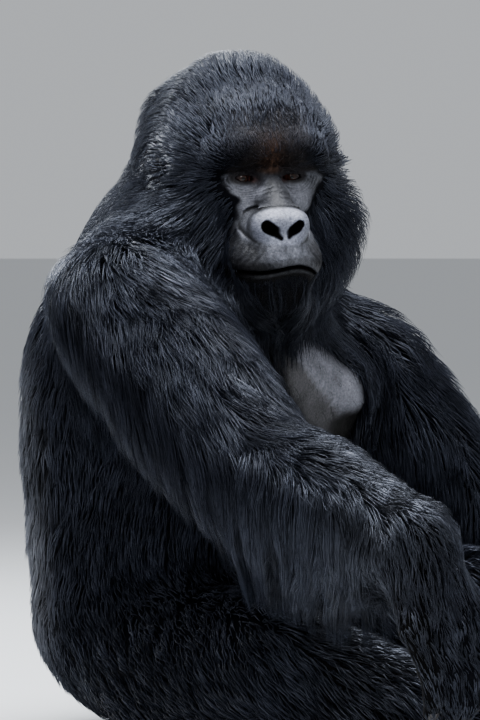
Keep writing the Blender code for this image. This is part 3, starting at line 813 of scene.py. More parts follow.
def face_colour(h):
    """Colour of the face's skin, with its painted light and shade, for points in the head's axes."""
    x, y, z = h.T
    m = mirrored(h)
    side = m[:, 0]
    mottle = noise(h, 7.0, 11) * 0.5 + noise(h, 2.6, 12) * 0.6
    colour = np.tile(FACE_GREY, (len(h), 1)).astype(float)
    # Painted light on the skin under the eyes, which faces the light.
    lit_below_eye = hill(side, 38, 24) * ramp(-z, 4, 14) * (1 - ramp(-z, 34, 56))
    colour = mixed(colour, UNDER_EYE_LIT, lit_below_eye * 0.9)
    # The bridge is a dark wedge that widens down to the pad.
    colour = mixed(colour, BRIDGE_GREY, bridge_wedge(x, z) * 0.95)
    pad = nose_pad(x, z)
    # The pad's middle is painted light and its outer sides darker as painted shade.
    lit = np.array(PAD_GREY) * (1 - 0.45 * ramp(pad, 0.45, 1.0) * ramp(side, 10, 34))[:, None]
    on_pad = (1 - ramp(pad, 0.84, 1.0)) * ramp(-y, 30, 44) * 0.95
    colour = mixed(colour, lit, on_pad)
    philtrum = hill(x, 0, 30) * ramp(-z, 80, 88) * (1 - ramp(-z, 100, 118)) * ramp(-y, 40, 56)
    colour = mixed(colour, LIP_GREY, philtrum * (1 - on_pad) * np.clip(0.85 + 0.5 * noise(h, 8.0, 13), 0, 1))
    around = ramp(-y, 10, 26) * ramp(z, -94, -80)
    # Painted highlight on the ridge of the fold outside the pad.
    colour = mixed(colour, FOLD_LIT_GREY, hill(pad, 1.10, 0.07, 2) * around * ramp(z, -84, -72)
                   * ramp(side, 24, 36))
    # Painted shade in the groove round the pad.
    ring = hill(pad, 1.01, 0.045, 2) * around
    colour = mixed(colour, DARK_SKIN_AND_SHADE, ring * (0.25 + 0.50 * ramp(side, 12, 32)))
    # Painted shade on the far right side of the muzzle, turned from the light.
    colour = mixed(colour, DARK_SKIN_AND_SHADE, ramp(-x + 3 * noise(h, 8.0, 17), 46, 54) * ramp(-z, 50, 64) * 0.92)
    # Dark skin on the sides of the muzzle, reaching further in on its right as painted shade.
    inner_edge = np.where(x < 0, 19, 26) + 22 * (1 - ramp(-z, 78, 92))
    muzzle_side = ramp(side + 6 * noise(h, 12.0, 14) - inner_edge, 0, 24) * ramp(-z, 50, 80)
    colour = mixed(colour, DARK_SKIN_AND_SHADE, muzzle_side * 0.88)
    # Painted shade under the hanging corners of the upper lip.
    colour = mixed(colour, SHADE_BLACK, ramp(side, 48, 60) * ramp(-z, 96, 116) * 0.7)
    line = z - mouth_height(x)
    # Painted shade along the mouth line under the upper lip, deepest on its right side.
    shade_over_lip = hill(line, 6, 7)
    colour = mixed(colour, (0.045, 0.045, 0.052), shade_over_lip * 0.5)
    colour = mixed(colour, (0.007, 0.007, 0.008), shade_over_lip * ramp(-x, 0, 34) * 0.85)
    # Painted highlight along the top edge of the lower lip.
    rim = hill(line, -6.8, 2.4) * hill(side, 0, 44, 6)
    colour = mixed(colour, (0.009, 0.0085, 0.009), ramp(-line, 0, 3))
    colour = mixed(colour, (0.040, 0.041, 0.046), rim * 0.8)
    # Painted shade in the parting of the lips.
    colour = mixed(colour, SHADE_BLACK, hill(line, -1, 3.4) * (side < MOUTH_CORNER + 3) * (y < 0))
    # Darker skin between the eyes, partly painted shade under the brow.
    between = hill(side, 0, 20) * ramp(z, -16, -4)
    colour = mixed(colour, DARK_SKIN_AND_SHADE, between * 0.75)
    brow = ramp(z, 3, 10)
    colour = mixed(colour, BROW_SKIN, brow)
    colour = mixed(colour, BROW_RED, brow * hill(x, 0, 14, 2) * hill(z, 30, 24, 2) * 0.9)
    # Dark lids round each eye, darkened further towards the brow as painted shade from it.
    gap = np.sqrt(((side - 34) / 21.0) ** 2 + ((z - 2) / 10.5) ** 2)
    colour = mixed(colour, (0.013, 0.0115, 0.0125), (1 - ramp(gap, 0.80, 1.20)) * 0.92)
    inner = np.exp(-(((side - 21) / 4) ** 2) - ((z + 3) / 4) ** 2)
    colour = mixed(colour, (0.09, 0.034, 0.030), inner * 0.35)
    # Painted shade inside the nostrils.
    colour = mixed(colour, SHADE_BLACK, 1 - ramp(nostril_distance(h, m), 0.4, 2.4))
    # Painted light and shade of the folds: lighter on their ridges, darker in their hollows.
    colour *= (1 + 0.42 * np.clip(wrinkles(h, m), -1.7, 1.0) * (z > -140))[:, None]
    return colour * (1 + 0.30 * mottle)[:, None]


def face_shine(h):
    """Specular level of the face: lower on the pad, low on the brow, none in nostrils and mouth."""
    m = mirrored(h)
    shine = 0.34 - 0.06 * (1 - ramp(nose_pad(h[:, 0], h[:, 2]), 0.8, 1.0))
    shine *= 1 - 0.75 * ramp(h[:, 2], -8, 4)
    line = h[:, 2] - mouth_height(h[:, 0])
    shine *= 1 - 0.6 * ramp(-line, 0, 4)
    shine *= 1 - 0.75 * ramp(m[:, 0], 42, 58) * ramp(-h[:, 2], 88, 108)
    shut = np.maximum(1 - ramp(nostril_distance(h, m), 0.4, 2.0),
                      hill(line, -1, 3.4) * (h[:, 1] < 0))
    return shine * (1 - shut)


def chest_colour(points):
    """The bare breast: a pale slanting half above its crease, partly painted light, a lobe below it in
    painted shade, and a dark underside of dark skin and painted shadow.
    """
    x, _, z = to_model(points).T
    out = past_crease(x, z)
    ragged = 0.006 * noise(points, 0.013, 42)
    # The pale grey of the upper slant is partly painted light.
    colour = np.tile(CHEST_LIT_GREY, (len(points), 1)).astype(float)
    # Painted shade on the lobe below the crease.
    colour = mixed(colour, LOBE_SHADE, 1 - ramp(out + 0.5 * ragged, -0.009, -0.001))
    between = (1 - ramp(out, -0.008, 0.0)) * ramp(z + 0.6 * x, 0.500, 0.515)
    colour = mixed(colour, (0.095, 0.093, 0.102), between * 0.8)
    # Dark skin under the breast, with painted shadow.
    under = ramp(0.450 + 0.23 * x - z + ragged, -0.006, 0.016) * ramp(x, 0.030, 0.050)
    colour = mixed(colour, (0.006, 0.0055, 0.005), under)
    # Painted highlights along the crease and the fold above it.
    crease = hill(out, 0.001, 0.0016, 2) + 0.7 * hill(out, 0.033, 0.0015, 2)
    colour *= (1 + 0.55 * crease * ramp(z, 0.485, 0.505))[:, None]
    # Painted shade from the hair towards the upper edge.
    colour *= (1 - 0.25 * ramp(out, 0.030, 0.056))[:, None]
    blotches = 0.30 * noise(points, 0.0085, 43) + 0.30 * noise(points, 0.022, 44)
    return colour * np.clip(1 + blotches, 0.3, 1.6)[:, None]


def skin_colour(points, bare, chest, palm):
    """Colour of the skin at each point, from where it is bare."""
    colour = coat_colour(points) * 0.35
    h = to_head(points)
    colour = mixed(colour, chest_colour(points), chest**2)
    colour = mixed(colour, PALM, palm)
    colour = mixed(colour, face_colour(h), bare)
    ear = hill(np.abs(h[:, 0]), 131, 9) * hill(h[:, 1], 112, 24) * hill(h[:, 2], 4, 34)
    return mixed(colour, DARK_SKIN_AND_SHADE, ear)


# ---- materials -------------------------------------------------------------------------------
HUE = "hue"                                    # the colour that each point of a mesh carries


def material(name, roughness, specular=0.5):
    """A material whose colour is the mesh's own, and its shader and nodes."""
    made = bpy.data.materials.new(name)
    made.use_nodes = True
    nodes, links = made.node_tree.nodes, made.node_tree.links
    shader = nodes["Principled BSDF"]
    shader.inputs["Roughness"].default_value = roughness
    shader.inputs["Specular IOR Level"].default_value = specular
    hue = nodes.new("ShaderNodeAttribute")
    hue.attribute_name = HUE
    return made, shader, nodes, links, hue


def varied(nodes, links, colour, scale, low, high, detail=4.0):
    """The colour, made lighter and darker by noise over the object's own space."""
    place = nodes.new("ShaderNodeTexCoord")
    pattern = nodes.new("ShaderNodeTexNoise")
    pattern.inputs["Scale"].default_value = scale
    pattern.inputs["Detail"].default_value = detail
    links.new(place.outputs["Object"], pattern.inputs["Vector"])
    spread_to = nodes.new("ShaderNodeMapRange")
    spread_to.inputs["From Min"].default_value = 0.3
    spread_to.inputs["From Max"].default_value = 0.7
    spread_to.inputs["To Min"].default_value = low
    spread_to.inputs["To Max"].default_value = high
    links.new(pattern.outputs["Fac"], spread_to.inputs["Value"])
    shade = nodes.new("ShaderNodeVectorMath")
    shade.operation = "SCALE"
    links.new(colour, shade.inputs[0])
    links.new(spread_to.outputs["Result"], shade.inputs["Scale"])
    return shade.outputs["Vector"], pattern, place


def skin_material():
    made, shader, nodes, links, hue = material("skin", 0.48)
    links.new(hue.outputs["Alpha"], shader.inputs["Specular IOR Level"])
    colour, pattern, place = varied(nodes, links, hue.outputs["Color"], 330.0, 0.66, 1.30)
    colour, *_ = varied(nodes, links, colour, 1100.0, 0.78, 1.18, 2.0)
    links.new(colour, shader.inputs["Base Color"])
    pores = nodes.new("ShaderNodeTexVoronoi")
    pores.inputs["Scale"].default_value = 620.0
    links.new(place.outputs["Object"], pores.inputs["Vector"])
    fine = nodes.new("ShaderNodeBump")
    fine.inputs["Strength"].default_value = 0.55
    fine.inputs["Distance"].default_value = 0.0007
    links.new(pores.outputs["Distance"], fine.inputs["Height"])
    broad = nodes.new("ShaderNodeBump")
    broad.inputs["Strength"].default_value = 0.60
    broad.inputs["Distance"].default_value = 0.0016
    links.new(pattern.outputs["Fac"], broad.inputs["Height"])
    links.new(fine.outputs["Normal"], broad.inputs["Normal"])
    links.new(broad.outputs["Normal"], shader.inputs["Normal"])
    return made


def coat_material(name, specular, tint):
    made, shader, nodes, links, hue = material(name, 0.40)
    gloss = nodes.new("ShaderNodeMath")
    gloss.operation = "MULTIPLY"
    gloss.inputs[1].default_value = specular
    links.new(hue.outputs["Alpha"], gloss.inputs[0])
    links.new(gloss.outputs["Value"], shader.inputs["Specular IOR Level"])
    colour, *_ = varied(nodes, links, hue.outputs["Color"], 34.0, 0.72, 1.30, 3.0)
    links.new(colour, shader.inputs["Base Color"])
    shader.inputs["Sheen Weight"].default_value = 0.05
    shader.inputs["Sheen Roughness"].default_value = 0.40
    shader.inputs["Sheen Tint"].default_value = (0.60, 0.70, 1.0, 1.0)
    shader.inputs["Specular Tint"].default_value = tint
    return made


def eye_material():
    made, shader, nodes, links, hue = material("eye", 0.10, 0.2)
    colour, *_ = varied(nodes, links, hue.outputs["Color"], 900.0, 0.75, 1.25)
    links.new(colour, shader.inputs["Base Color"])
    shader.inputs["Coat Weight"].default_value = 0.16
    shader.inputs["Coat Roughness"].default_value = 0.04
    return made


def nail_material():
    made, shader, nodes, links, hue = material("nail", 0.30, 0.5)
    colour, *_ = varied(nodes, links, hue.outputs["Color"], 140.0, 0.70, 1.35)
    links.new(colour, shader.inputs["Base Color"])
    return made


def set_hue(mesh, colours, shine=1.0):
    """Colour of each point; its alpha carries how glossy the point is."""
    layer = mesh.color_attributes.new(HUE, "FLOAT_COLOR", "POINT")
    full = np.ones((len(colours), 4), np.float32)
    full[:, :3], full[:, 3] = np.clip(colours, 0, 1), shine
    layer.data.foreach_set("color", full.ravel())


def set_smooth(mesh):
    mesh.polygons.foreach_set("use_smooth", np.ones(len(mesh.polygons), bool))
    mesh.update()


def placed(name, mesh, surface, slot, *nodes):
    """A finished piece of the model, riding on its one body."""
    mesh.materials.clear()
    mesh.materials.append(surface)
    set_smooth(mesh)
    obj = object_of(name, mesh)
    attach(obj, "root")
    if nodes:
        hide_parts(*nodes)
    return obj


# ---- an unwrap of the skin: one turned-out cylinder for each part ------------------------------
TILES = 4                                       # along each side of the map
TILE_MARGIN = 0.08                              # of a tile
AXES = {
    "head": (HEAD, HEAD + HEAD_TURN @ Vector((0, 0.02, 0.1))),
    "neck": (at(0, 0.08, 0.62), at(-0.03, 0.02, 0.75)),
    "trunk": (at(0, 0.1, 0.1), at(0, 0.1, 0.6)),
}
for side, letter in ((0, "r"), (1, "l")):
    AXES[f"upper_arm_{letter}"] = (at(*SHOULDER[side]), at(*ELBOW[side]))
    AXES[f"forearm_{letter}"] = (at(*ELBOW[side]), at(*WRIST[side]))
    AXES[f"thigh_{letter}"] = (at(*HIP[side]), at(*KNEE[side]))
    AXES[f"shin_{letter}"] = (at(*KNEE[side]), at(*ANKLE[side]))
    AXES[f"hand_{letter}"] = (at(*WRIST[side]), at(*WRIST[side]) + Vector(HAND_WAY[side][0]) * 0.2)
    AXES[f"foot_{letter}"] = (at(*ANKLE[side]), at(*ANKLE[side]) + Vector((0, -0.2, -0.05)))
PARTS = list(AXES)


def unwrapped(points, part, around=None):
    """Angle and height of points on the cylinder of one part, in turns and metres."""
    start, end = (np.array(v) for v in AXES[part])
    axis = (end - start) / np.linalg.norm(end - start)
    side = np.cross(axis, (0.31, 0.87, 0.38))
    side /= np.linalg.norm(side)
    gap = points - start
    angle = np.arctan2(gap @ np.cross(axis, side), gap @ side) / (2 * math.pi)
    if around is not None:
        angle = around + (angle - around + 0.5) % 1.0 - 0.5
    return angle, gap @ axis


def unwrap(points, owners, ranges, middles=None):
    """Places on the OFBake map.  Corners of a face are kept on its middle's side of the cut."""
    uv = np.zeros((len(points), 2))
    for number, part in enumerate(PARTS):
        own = owners == number
        if not own.any():
            continue
        around = None if middles is None else unwrapped(middles[own], part)[0]
        angle, height = unwrapped(points[own], part, around)
        low, high = ranges[number]
        inside = np.stack([angle + 0.5, (height - low) / (high - low)], 1)
        inside = TILE_MARGIN + (1 - 2 * TILE_MARGIN) * inside
        uv[own] = (inside + (number % TILES, number // TILES)) / TILES
    return uv


# ---- how the coat lies ---------------------------------------------------------------------------
OUTLINE_STEP = 0.0068
DOWN = np.array((0.0, 0.0, -1.0))
SHOULDER_TOP = (-0.150, 0.060, 0.735)           # where the coat of the near arm parts, modelling axes


def unit(vectors):
    return vectors / np.maximum(np.linalg.norm(vectors, axis=-1), 1e-9)[..., None]


def way_along(part):
    start, end = AXES[part]
    return unit(np.array(end - start))


def head_lie(h):
    """Up and back from the brow, out over the temples, down over cheeks, beard and nape."""
    _, y, z = h.T
    way = unit(h - (0, -60, 0))
    way += np.outer(ramp(-z, -10, 60), (0, 0.15, -1.5))
    way += np.outer(ramp(y, 120, 230), (0, 0.2, -1.8))
    way += np.outer(ramp(z, 10, 50) * (1 - ramp(y, 60, 170)), (0, 0.5, 0.6))
    under = ramp(-z, 125, 150) * (1 - ramp(y, 20, 70))
    way = mixed(way, (0, -0.25, -1.0), under)
    return way @ TURN.T


def lie(points, normals, owners):
    """The way the coat runs from each point of the skin, along its surface."""
    q = to_model(points)
    way = np.tile(DOWN, (len(points), 1))
    for number, part in enumerate(PARTS):
        own = owners == number
        if not own.any():
            continue
        here, n = q[own], normals[own]
        run = way_along(part)
        top, side = np.clip(n[:, 2], 0, 1), (-1 if part.endswith("_r") else 1)
        if part == "head":
            made = head_lie(to_head(points[own]))
        elif part == "neck":
            made = np.tile((0, 0.15, -1.0), (len(here), 1)) + unit(here - (0, 0.09, 0.6)) * 0.4
        elif part == "trunk":
            outward = np.sign(here[:, 0]) * ramp(here[:, 2], 0.52, 0.66)
            made = np.stack([outward * 0.9, np.full(len(here), 0.05), np.full(len(here), -1.0)], 1)
        elif part.startswith("upper_arm"):
            made = np.tile(run * 0.8 + DOWN * 0.75, (len(here), 1))
            if part.endswith("_r"):
                apart = here - SHOULDER_TOP
                near = 1 - ramp(np.linalg.norm(apart, axis=1), 0.05, 0.26)
                made = made * (1 - near)[:, None] + unit(apart) * (near * 1.2)[:, None]
            else:
                made += np.outer(top, (side * 0.5, 0, 0))
        elif part.startswith("forearm"):
            under = 1 - ramp(n[:, 2], -0.2, 0.75)
            made = np.outer(1 - under, run) * 1.1 + np.outer(under, DOWN * 1.1 - run * 0.75)
        elif part.startswith("thigh"):
            made = np.tile(run * 0.8 + DOWN * 0.5, (len(here), 1))
        elif part.startswith("shin"):
            made = np.tile(run * 0.8 + DOWN * 0.6, (len(here), 1))
        else:
            made = np.tile(run, (len(here), 1))
        way[own] = made
    return way


def on_surface(vectors, normals):
    return unit(vectors - normals * (vectors * normals).sum(-1, keepdims=True))


class Skin:
    """What the coat needs to know at each point of the skin."""

    def __init__(self, mesh):
        self.mesh = mesh
        self.points, self.normals, self.edges = points_of(mesh), normals_of(mesh), edges_of(mesh)
        self.tree = KDTree(len(self.points))
        for i, point in enumerate(self.points):
            self.tree.insert(point, i)
        self.tree.balance()
        tree, owners, points, triangles = cad_surface(FLESH_NODES)
        names = [node if node in PARTS else "head" for node in owners]
        index = np.array([PARTS.index(name) for name in names])
        self.owners = index[[tree.find_nearest(point)[2] for point in self.points]]
        joined = bpy.data.meshes.new("outline")
        joined.from_pydata(points, [], triangles)
        outline = remeshed(joined, OUTLINE_STEP)
        outer = BVHTree.FromPolygons([vertex.co for vertex in outline.vertices],
                                     [polygon.vertices for polygon in outline.polygons])
        depth = np.array([outer.find_nearest(point)[3] for point in self.points])
        self.depth = np.clip(spread(depth, self.edges, 6), 0.002, 0.060)
        self.soft_normals = unit(spread(self.normals, self.edges, 10))
        way = on_surface(lie(self.points, self.soft_normals, self.owners), self.soft_normals)
        self.way = on_surface(spread(way, self.edges, 24), self.soft_normals)
        h = to_head(self.points)
        heads = self.owners == PARTS.index("head")
        self.bare_face = bare_face(h) * heads
        self.chest = bare_chest(self.points) * (self.owners == PARTS.index("trunk"))
        self.palm = np.zeros(len(self.points))
        for side, letter in ((0, "r"), (1, "l")):
            for part, up in ((f"hand_{letter}", HAND_WAY[side][1]), (f"foot_{letter}", (0, 0, 1))):
                own = self.owners == PARTS.index(part)
                facing = self.normals[own] @ unit(np.array(up, float))
                self.palm[own] = 1 - ramp(facing, -0.60, -0.20)
                if part.startswith("hand"):
                    wrist = np.array(at(*WRIST[side]))
                    self.palm[own] *= ramp(np.linalg.norm(self.points[own] - wrist, axis=1), 0.045, 0.085)
        mesh.calc_loop_triangles()
        self.triangles = read(mesh.loop_triangles, "vertices", 3)
        a, b, c = (self.points[self.triangles[:, i]] for i in range(3))
        self.areas = np.linalg.norm(np.cross(b - a, c - a), axis=1) / 2
        self.ranges = []
        for number, part in enumerate(PARTS):
            own = self.owners == number
            heights = unwrapped(self.points[own], part)[1] if own.any() else np.zeros(2)
            self.ranges.append((heights.min() - 0.01, heights.max() + 0.01))

    def nearest(self, points):
        find = self.tree.find
        return np.array([find(point)[1] for point in points])


def finish_skin(known):
    """Colours and the OFBake map of the skin."""
    mesh = known.mesh
    bare = np.maximum(np.maximum(known.chest, known.palm), 0.2)
    shine = 0.34 * bare + (face_shine(to_head(known.points)) - 0.34 * bare) * known.bare_face
    colour = skin_colour(known.points, known.bare_face, known.chest, known.palm)
    shine *= np.clip(0.28 + colour.mean(-1) / 0.09, 0.28, 1.0)                  # dark skin is dull
    set_hue(mesh, colour, shine)
    corner = read(mesh.loops, "vertex_index", 1).ravel()
    sides = read(mesh.polygons, "loop_total", 1).ravel()
    face = np.repeat(np.arange(len(sides)), sides)
    first = np.concatenate([[0], np.cumsum(sides)[:-1]])
    middles = np.stack([np.bincount(face, known.points[corner][:, i]) / sides for i in range(3)], 1)
    owners = known.owners[corner[first]]
    set_map(mesh, unwrap(known.points[corner], owners[face], known.ranges, middles[face]))
    placed("skin", mesh, skin_material(), "skin", *FLESH_NODES)


# ---- locks -----------------------------------------------------------------------------------------
SEED = 20
PATCH = 0.003                                    # size of a lock on the OFBake map
TRIANGLE = np.radians((90.0, 210.0, 330.0))      # a lock's three edges, the first one outwards
TAPER = {2: (0.85, 0.75), 3: (0.80, 1.0, 0.62), 4: (0.75, 1.0, 0.86, 0.50)}
FLATNESS = 0.6                                   # a lock's thickness over its width
OUTERMOST = 1.06                                 # how far out a lock may stand, over the coat's depth


def lock_mesh(name, paths, outward, widths, hues, gloss, uv):
    """Closed three-sided locks that taper to a point, as one mesh."""
    count, stations, _ = paths.shape
    rings = stations - 1
    along = unit(np.diff(paths, axis=1))
    across = unit(np.cross(along, outward))
    upward = np.cross(across, along)
    radius = widths[:, None] / 2 * np.array(TAPER[rings])
    ring = (paths[:, :-1, None] + radius[:, :, None, None]
            * (np.cos(TRIANGLE)[None, None, :, None] * across[:, :, None]
               + FLATNESS * np.sin(TRIANGLE)[None, None, :, None] * upward[:, :, None]))
    size = rings * 3 + 1
    points = np.concatenate([ring.reshape(count, -1, 3), paths[:, -1:]], 1)
    faces = [(0, 2, 1)]
    for i in range(rings - 1):
        for k in range(3):
            a, b = i * 3 + k, i * 3 + (k + 1) % 3
            faces += [(a, b, b + 3), (a, b + 3, a + 3)]
    faces += [(size - 4 + k, size - 4 + (k + 1) % 3, size - 1) for k in range(3)]
    faces = np.array(faces)
    everything = (faces[None] + np.arange(count)[:, None, None] * size).reshape(-1, 3)
    mesh = mesh_of(name, points.reshape(-1, 3), everything)
    share = np.append(np.repeat(np.arange(rings), 3) / rings, 1.0)
    # Darker at the root as painted shade deep in the coat.
    shaded = hues[:, None] * (0.55 + 0.75 * share)[None, :, None]               # lighter towards the tip
    set_hue(mesh, shaded.reshape(-1, 3), np.repeat(gloss, size))
    turn = np.append(np.tile((0.5, 0.0, 1.0), rings), 0.5)
    spot = uv[:, None] + PATCH * (np.stack([turn, share], 1)[None] - 0.5)
    set_map(mesh, spot.reshape(-1, 2)[everything.ravel()])
    return mesh


def sown(known, weight, count, chance):
    """Roots of locks spread over the skin by weight: their places and a point of the skin near each."""
    share = known.areas * weight[known.triangles].mean(1)
    picks = np.searchsorted(np.cumsum(share), chance.random(count) * share.sum())
    picks = np.minimum(picks, len(share) - 1)
    corners = known.triangles[picks]
    u, v = chance.random((2, count))
    over = u + v > 1
    u[over], v[over] = 1 - u[over], 1 - v[over]
    shares = np.stack([1 - u - v, u, v], 1)[:, :, None]
    return (known.points[corners] * shares).sum(1), corners[:, 0]


def groomed(known, roots, near, lengths, heights, steps, chance, stray, hang, wave):
    """Paths of locks that run over the skin by its lie, rise off it, and hang free below it."""
    count = len(roots)
    bend = wave * (0.34 * noise(roots, 0.060, 7) + 0.20 * noise(roots, 0.019, 8))
    bend += stray * chance.normal(size=count)
    curl = 0.20 * chance.normal(size=count)
    place, paths, outs = roots.copy(), [roots - known.soft_normals[near] * 0.0015], []
    for step in range(steps):
        n, way = known.soft_normals[near], known.way[near]
        angle = bend + curl * step / steps
        forward = way * np.cos(angle)[:, None] + np.cross(n, way) * np.sin(angle)[:, None]
        outs.append(n)
        share = (step + 1) / steps
        free = hang * ramp(-n[:, 2], -0.30, 0.45)
        fall = (free * (0.35 + 0.5 * share))[:, None]
        heading = unit(forward * (1 - fall) + DOWN * fall)
        place = place + heading * (lengths / steps)[:, None]
        near = known.nearest(place)
        n, on = known.soft_normals[near], known.points[near]
        height = ((place - on) * n).sum(1)
        wanted = heights * (1 - (1 - share) ** 1.8)
        kept = wanted + (height - wanted) * free
        kept = np.clip(kept, np.minimum(wanted, 0.002), known.depth[near] * OUTERMOST)
        place = place + n * (kept - height)[:, None]
        place[:, 2] = np.maximum(place[:, 2], 0.001 + 0.002 * chance.random(count))
        paths.append(place)
    return np.stack(paths, 1), np.stack(outs, 1)


def coat_piece(known, name, weight, count, length, width, steps, surface, stray=0.10, clump=0.45,
               each=14, lift=1.02, hang=0.0, reach=0.022, wave=1.0, tones=0.45):
    """One joined piece of the coat.  length and width are fields over the skin, in metres."""
    chance = np.random.default_rng(SEED + len(name) * 101 + sum(name.encode()))
    roots, near = sown(known, weight, count, chance)
    lengths = length[near] * chance.uniform(0.70, 1.20, count)
    layer = chance.uniform(0.30, 1.0, count) ** 0.55
    heights = np.minimum(known.depth[near] * np.minimum(lift * layer, OUTERMOST), lengths * 0.85)
    paths, outs = groomed(known, roots, near, lengths, heights, steps, chance, stray, hang, wave)
    # Tips of neighbouring locks lean together.
    leaders = chance.choice(count, max(1, count // each), replace=False)
    tree = KDTree(len(leaders))
    for i, leader in enumerate(leaders):
        tree.insert(roots[leader], i)
    tree.balance()
    number = np.array([tree.find(root)[1] for root in roots])
    leader = leaders[number]
    near_enough = np.linalg.norm(roots - roots[leader], axis=1) < reach
    pull = clump * near_enough[:, None] * np.linspace(0, 1, steps + 1)[None] ** 1.3
    gathered = paths[leader] - roots[leader][:, None] + roots[:, None]
    target = gathered * 0.25 + paths[leader] * 0.75
    paths = paths + (target - paths) * pull[:, :, None] * 0.8
    shared = chance.uniform(1 - tones, 1 + tones, len(leaders))[number]
    tone = shared * chance.uniform(0.75, 1.25, count) + 0.25 * noise(roots, 0.012, 9)
    hues = coat_colour(roots) * np.clip(tone, 0.3, 2.0)[:, None]
    uv = unwrap(roots, known.owners[near], known.ranges)
    mesh = lock_mesh(name, paths, outs, width[near] * chance.uniform(0.75, 1.25, count), hues,
                     coat_gloss(roots) * np.clip(tone, 0.5, 1.6), uv)
    return placed(name, mesh, surface, "coat")


def coat(known):
    """The whole coat, piece by piece."""
    surface = coat_material("coat", 0.36, (0.70, 0.78, 1.0, 1.0))
    short_surface = coat_material("short_coat", 0.13, (0.94, 0.90, 0.92, 1.0))
    q = to_model(known.points)
    h = to_head(known.points)
    x, y, z = h.T
    n = known.soft_normals

    def part(*names):
        found = [PARTS.index(name) for name in names]
        return np.isin(known.owners, found).astype(float)

    def piece(name, where, count, length, width, steps, made=surface, **more):
        """A piece of the coat; a plain number as length or width holds for all of it."""
        length, width = (np.broadcast_to(value, len(q)) for value in (length, width))
        coat_piece(known, name, where, count, length, width, steps, made, **more)

    head = part("head")
    # The brow and the chin carry short hair over their bare-looking skin.
    brow = known.bare_face * ramp(z, 13, 22)
    chin = known.bare_face * ramp(mouth_height(x) - z, 9, 16)
    bare = known.bare_face - np.maximum(brow, chin)
    sitting = (known.points[:, 2] < 0.012) & (n[:, 2] < -0.7)
    covered = (1 - bare) * (1 - 0.92 * known.chest) * (1 - known.palm) * ~sitting
    ear = ellipsoid(np.stack([np.abs(x), y, z], 1), EAR_AT, (9, 16, 24))
    covered = covered * ramp(ear, -3, 1)
    forehead = ramp(z, 8, 18) * (1 - ramp(z, 52, 92)) * (1 - ramp(y, 4, 46))
    short = head * np.maximum(np.maximum(brow * (1 - ramp(z, 52, 92)), chin), forehead)
    short *= 1 - ramp(np.abs(x), 50, 74) * ramp(z, -4, 8)
    brow_length = 0.0050 + 0.0145 * ramp(z, 20, 86) + 0.0060 * ramp(y, 0, 46)
    chin_length = 0.0060 + 0.0180 * ramp(-z, 140, 172) + 0.0120 * ramp(np.abs(x), 28, 52)
    short_length = np.where(z > 0, brow_length, chin_length)
    cheek = ramp(-z, -30, 50)
    head_length = 0.034 + 0.032 * cheek + 0.010 * ramp(y, 60, 150)
    head_length -= 0.016 * (1 - ramp(y, 20, 90)) * ramp(z, 5, 30) * (1 - ramp(z, 70, 118))
    right = (x < 0).astype(float)
    long_head = head * np.maximum(covered, brow * (1 - known.chest)) * (1 - 0.9 * short)
    for name, half in (("coat_head_r", right), ("coat_head_l", 1 - right)):
        piece(name, long_head * half, 10500, head_length, 0.0015, 3, tones=0.30, each=10, lift=1.20)
    piece("coat_face", short, 9500, short_length, 0.0009, 2, short_surface, stray=0.14, clump=0.15, each=8,
          lift=0.42, tones=0.25)
    over_chest = ramp(-q[:, 1], 0.06, 0.12) * (1 - ramp(q[:, 2], 0.58, 0.66))
    piece("coat_neck", part("neck") * covered, 3000, 0.060 - 0.038 * over_chest, 0.0020, 3)
    # Near arm.
    shaggy = {"clump": 0.70, "reach": 0.032, "each": 22, "wave": 1.25, "tones": 0.55}
    arm = part("upper_arm_r") * covered
    front = ramp(q[:, 1], -0.10, -0.11)
    long_arm = 0.075 + 0.040 * ramp(-q[:, 2], -0.72, -0.50)
    for name, half in (("coat_arm_top_r", 1 - front), ("coat_arm_low_r", front)):
        piece(name, arm * half, 6300, long_arm, 0.0015, 4, hang=0.9, **shaggy)
    fore = part("forearm_r") * covered
    under = 1 - ramp(n[:, 2], -0.15, 0.35)
    fore_length = 0.095 - 0.030 * ramp(n[:, 2], 0.3, 0.9)
    piece("coat_forearm_r", fore * (1 - under), 4200, fore_length, 0.0016, 4, hang=1.0, **shaggy)
    piece("coat_fringe_r", fore * under, 4600, 0.110, 0.0017, 4, stray=0.16, clump=0.95, hang=1.0,
          reach=0.042, each=36, wave=1.9, tones=0.75)
    # Far arm.
    piece("coat_arm_l", part("upper_arm_l") * covered, 6300, 0.095, 0.0022, 3, clump=0.7, hang=0.9,
          reach=0.032, each=20, wave=1.2)
    piece("coat_forearm_l", part("forearm_l") * covered, 4600, 0.095, 0.0023, 3, clump=0.8, hang=1.0,
          reach=0.036, each=26, wave=1.4)
    # Trunk and legs.
    trunk = part("trunk") * covered
    back = ramp(q[:, 1], 0.02, 0.10)
    trunk_length = 0.046 + 0.026 * ramp(q[:, 2], 0.54, 0.64)
    piece("coat_back", trunk * back, 13500, trunk_length, 0.0034, 2, stray=0.14)
    front_length, front_width = 0.050 - 0.036 * known.chest, 0.0030 - 0.0022 * known.chest
    piece("coat_front", trunk * (1 - back), 4400, front_length, front_width, 2, stray=0.10, wave=0.7)
    piece("coat_thighs", part("thigh_r", "thigh_l") * covered, 8000, 0.056, 0.0032, 2, stray=0.08, wave=0.6)
    piece("coat_shins", part("shin_r", "shin_l") * covered, 4500, 0.058, 0.0028, 2, stray=0.16)
    # Hands and feet, with longer hair at the wrist.
    wrist_gap = np.minimum(*(np.linalg.norm(known.points - np.array(at(*place)), axis=1) for place in WRIST))
    end_length = 0.013 + 0.008 * part("hand_r", "hand_l") + 0.034 * (1 - ramp(wrist_gap, 0.03, 0.12))
    ends = part(*END_NODES) * covered
    piece("coat_hands_feet", ends, 8500, end_length, 0.0018, 2, stray=0.16, lift=1.0, hang=0.5)


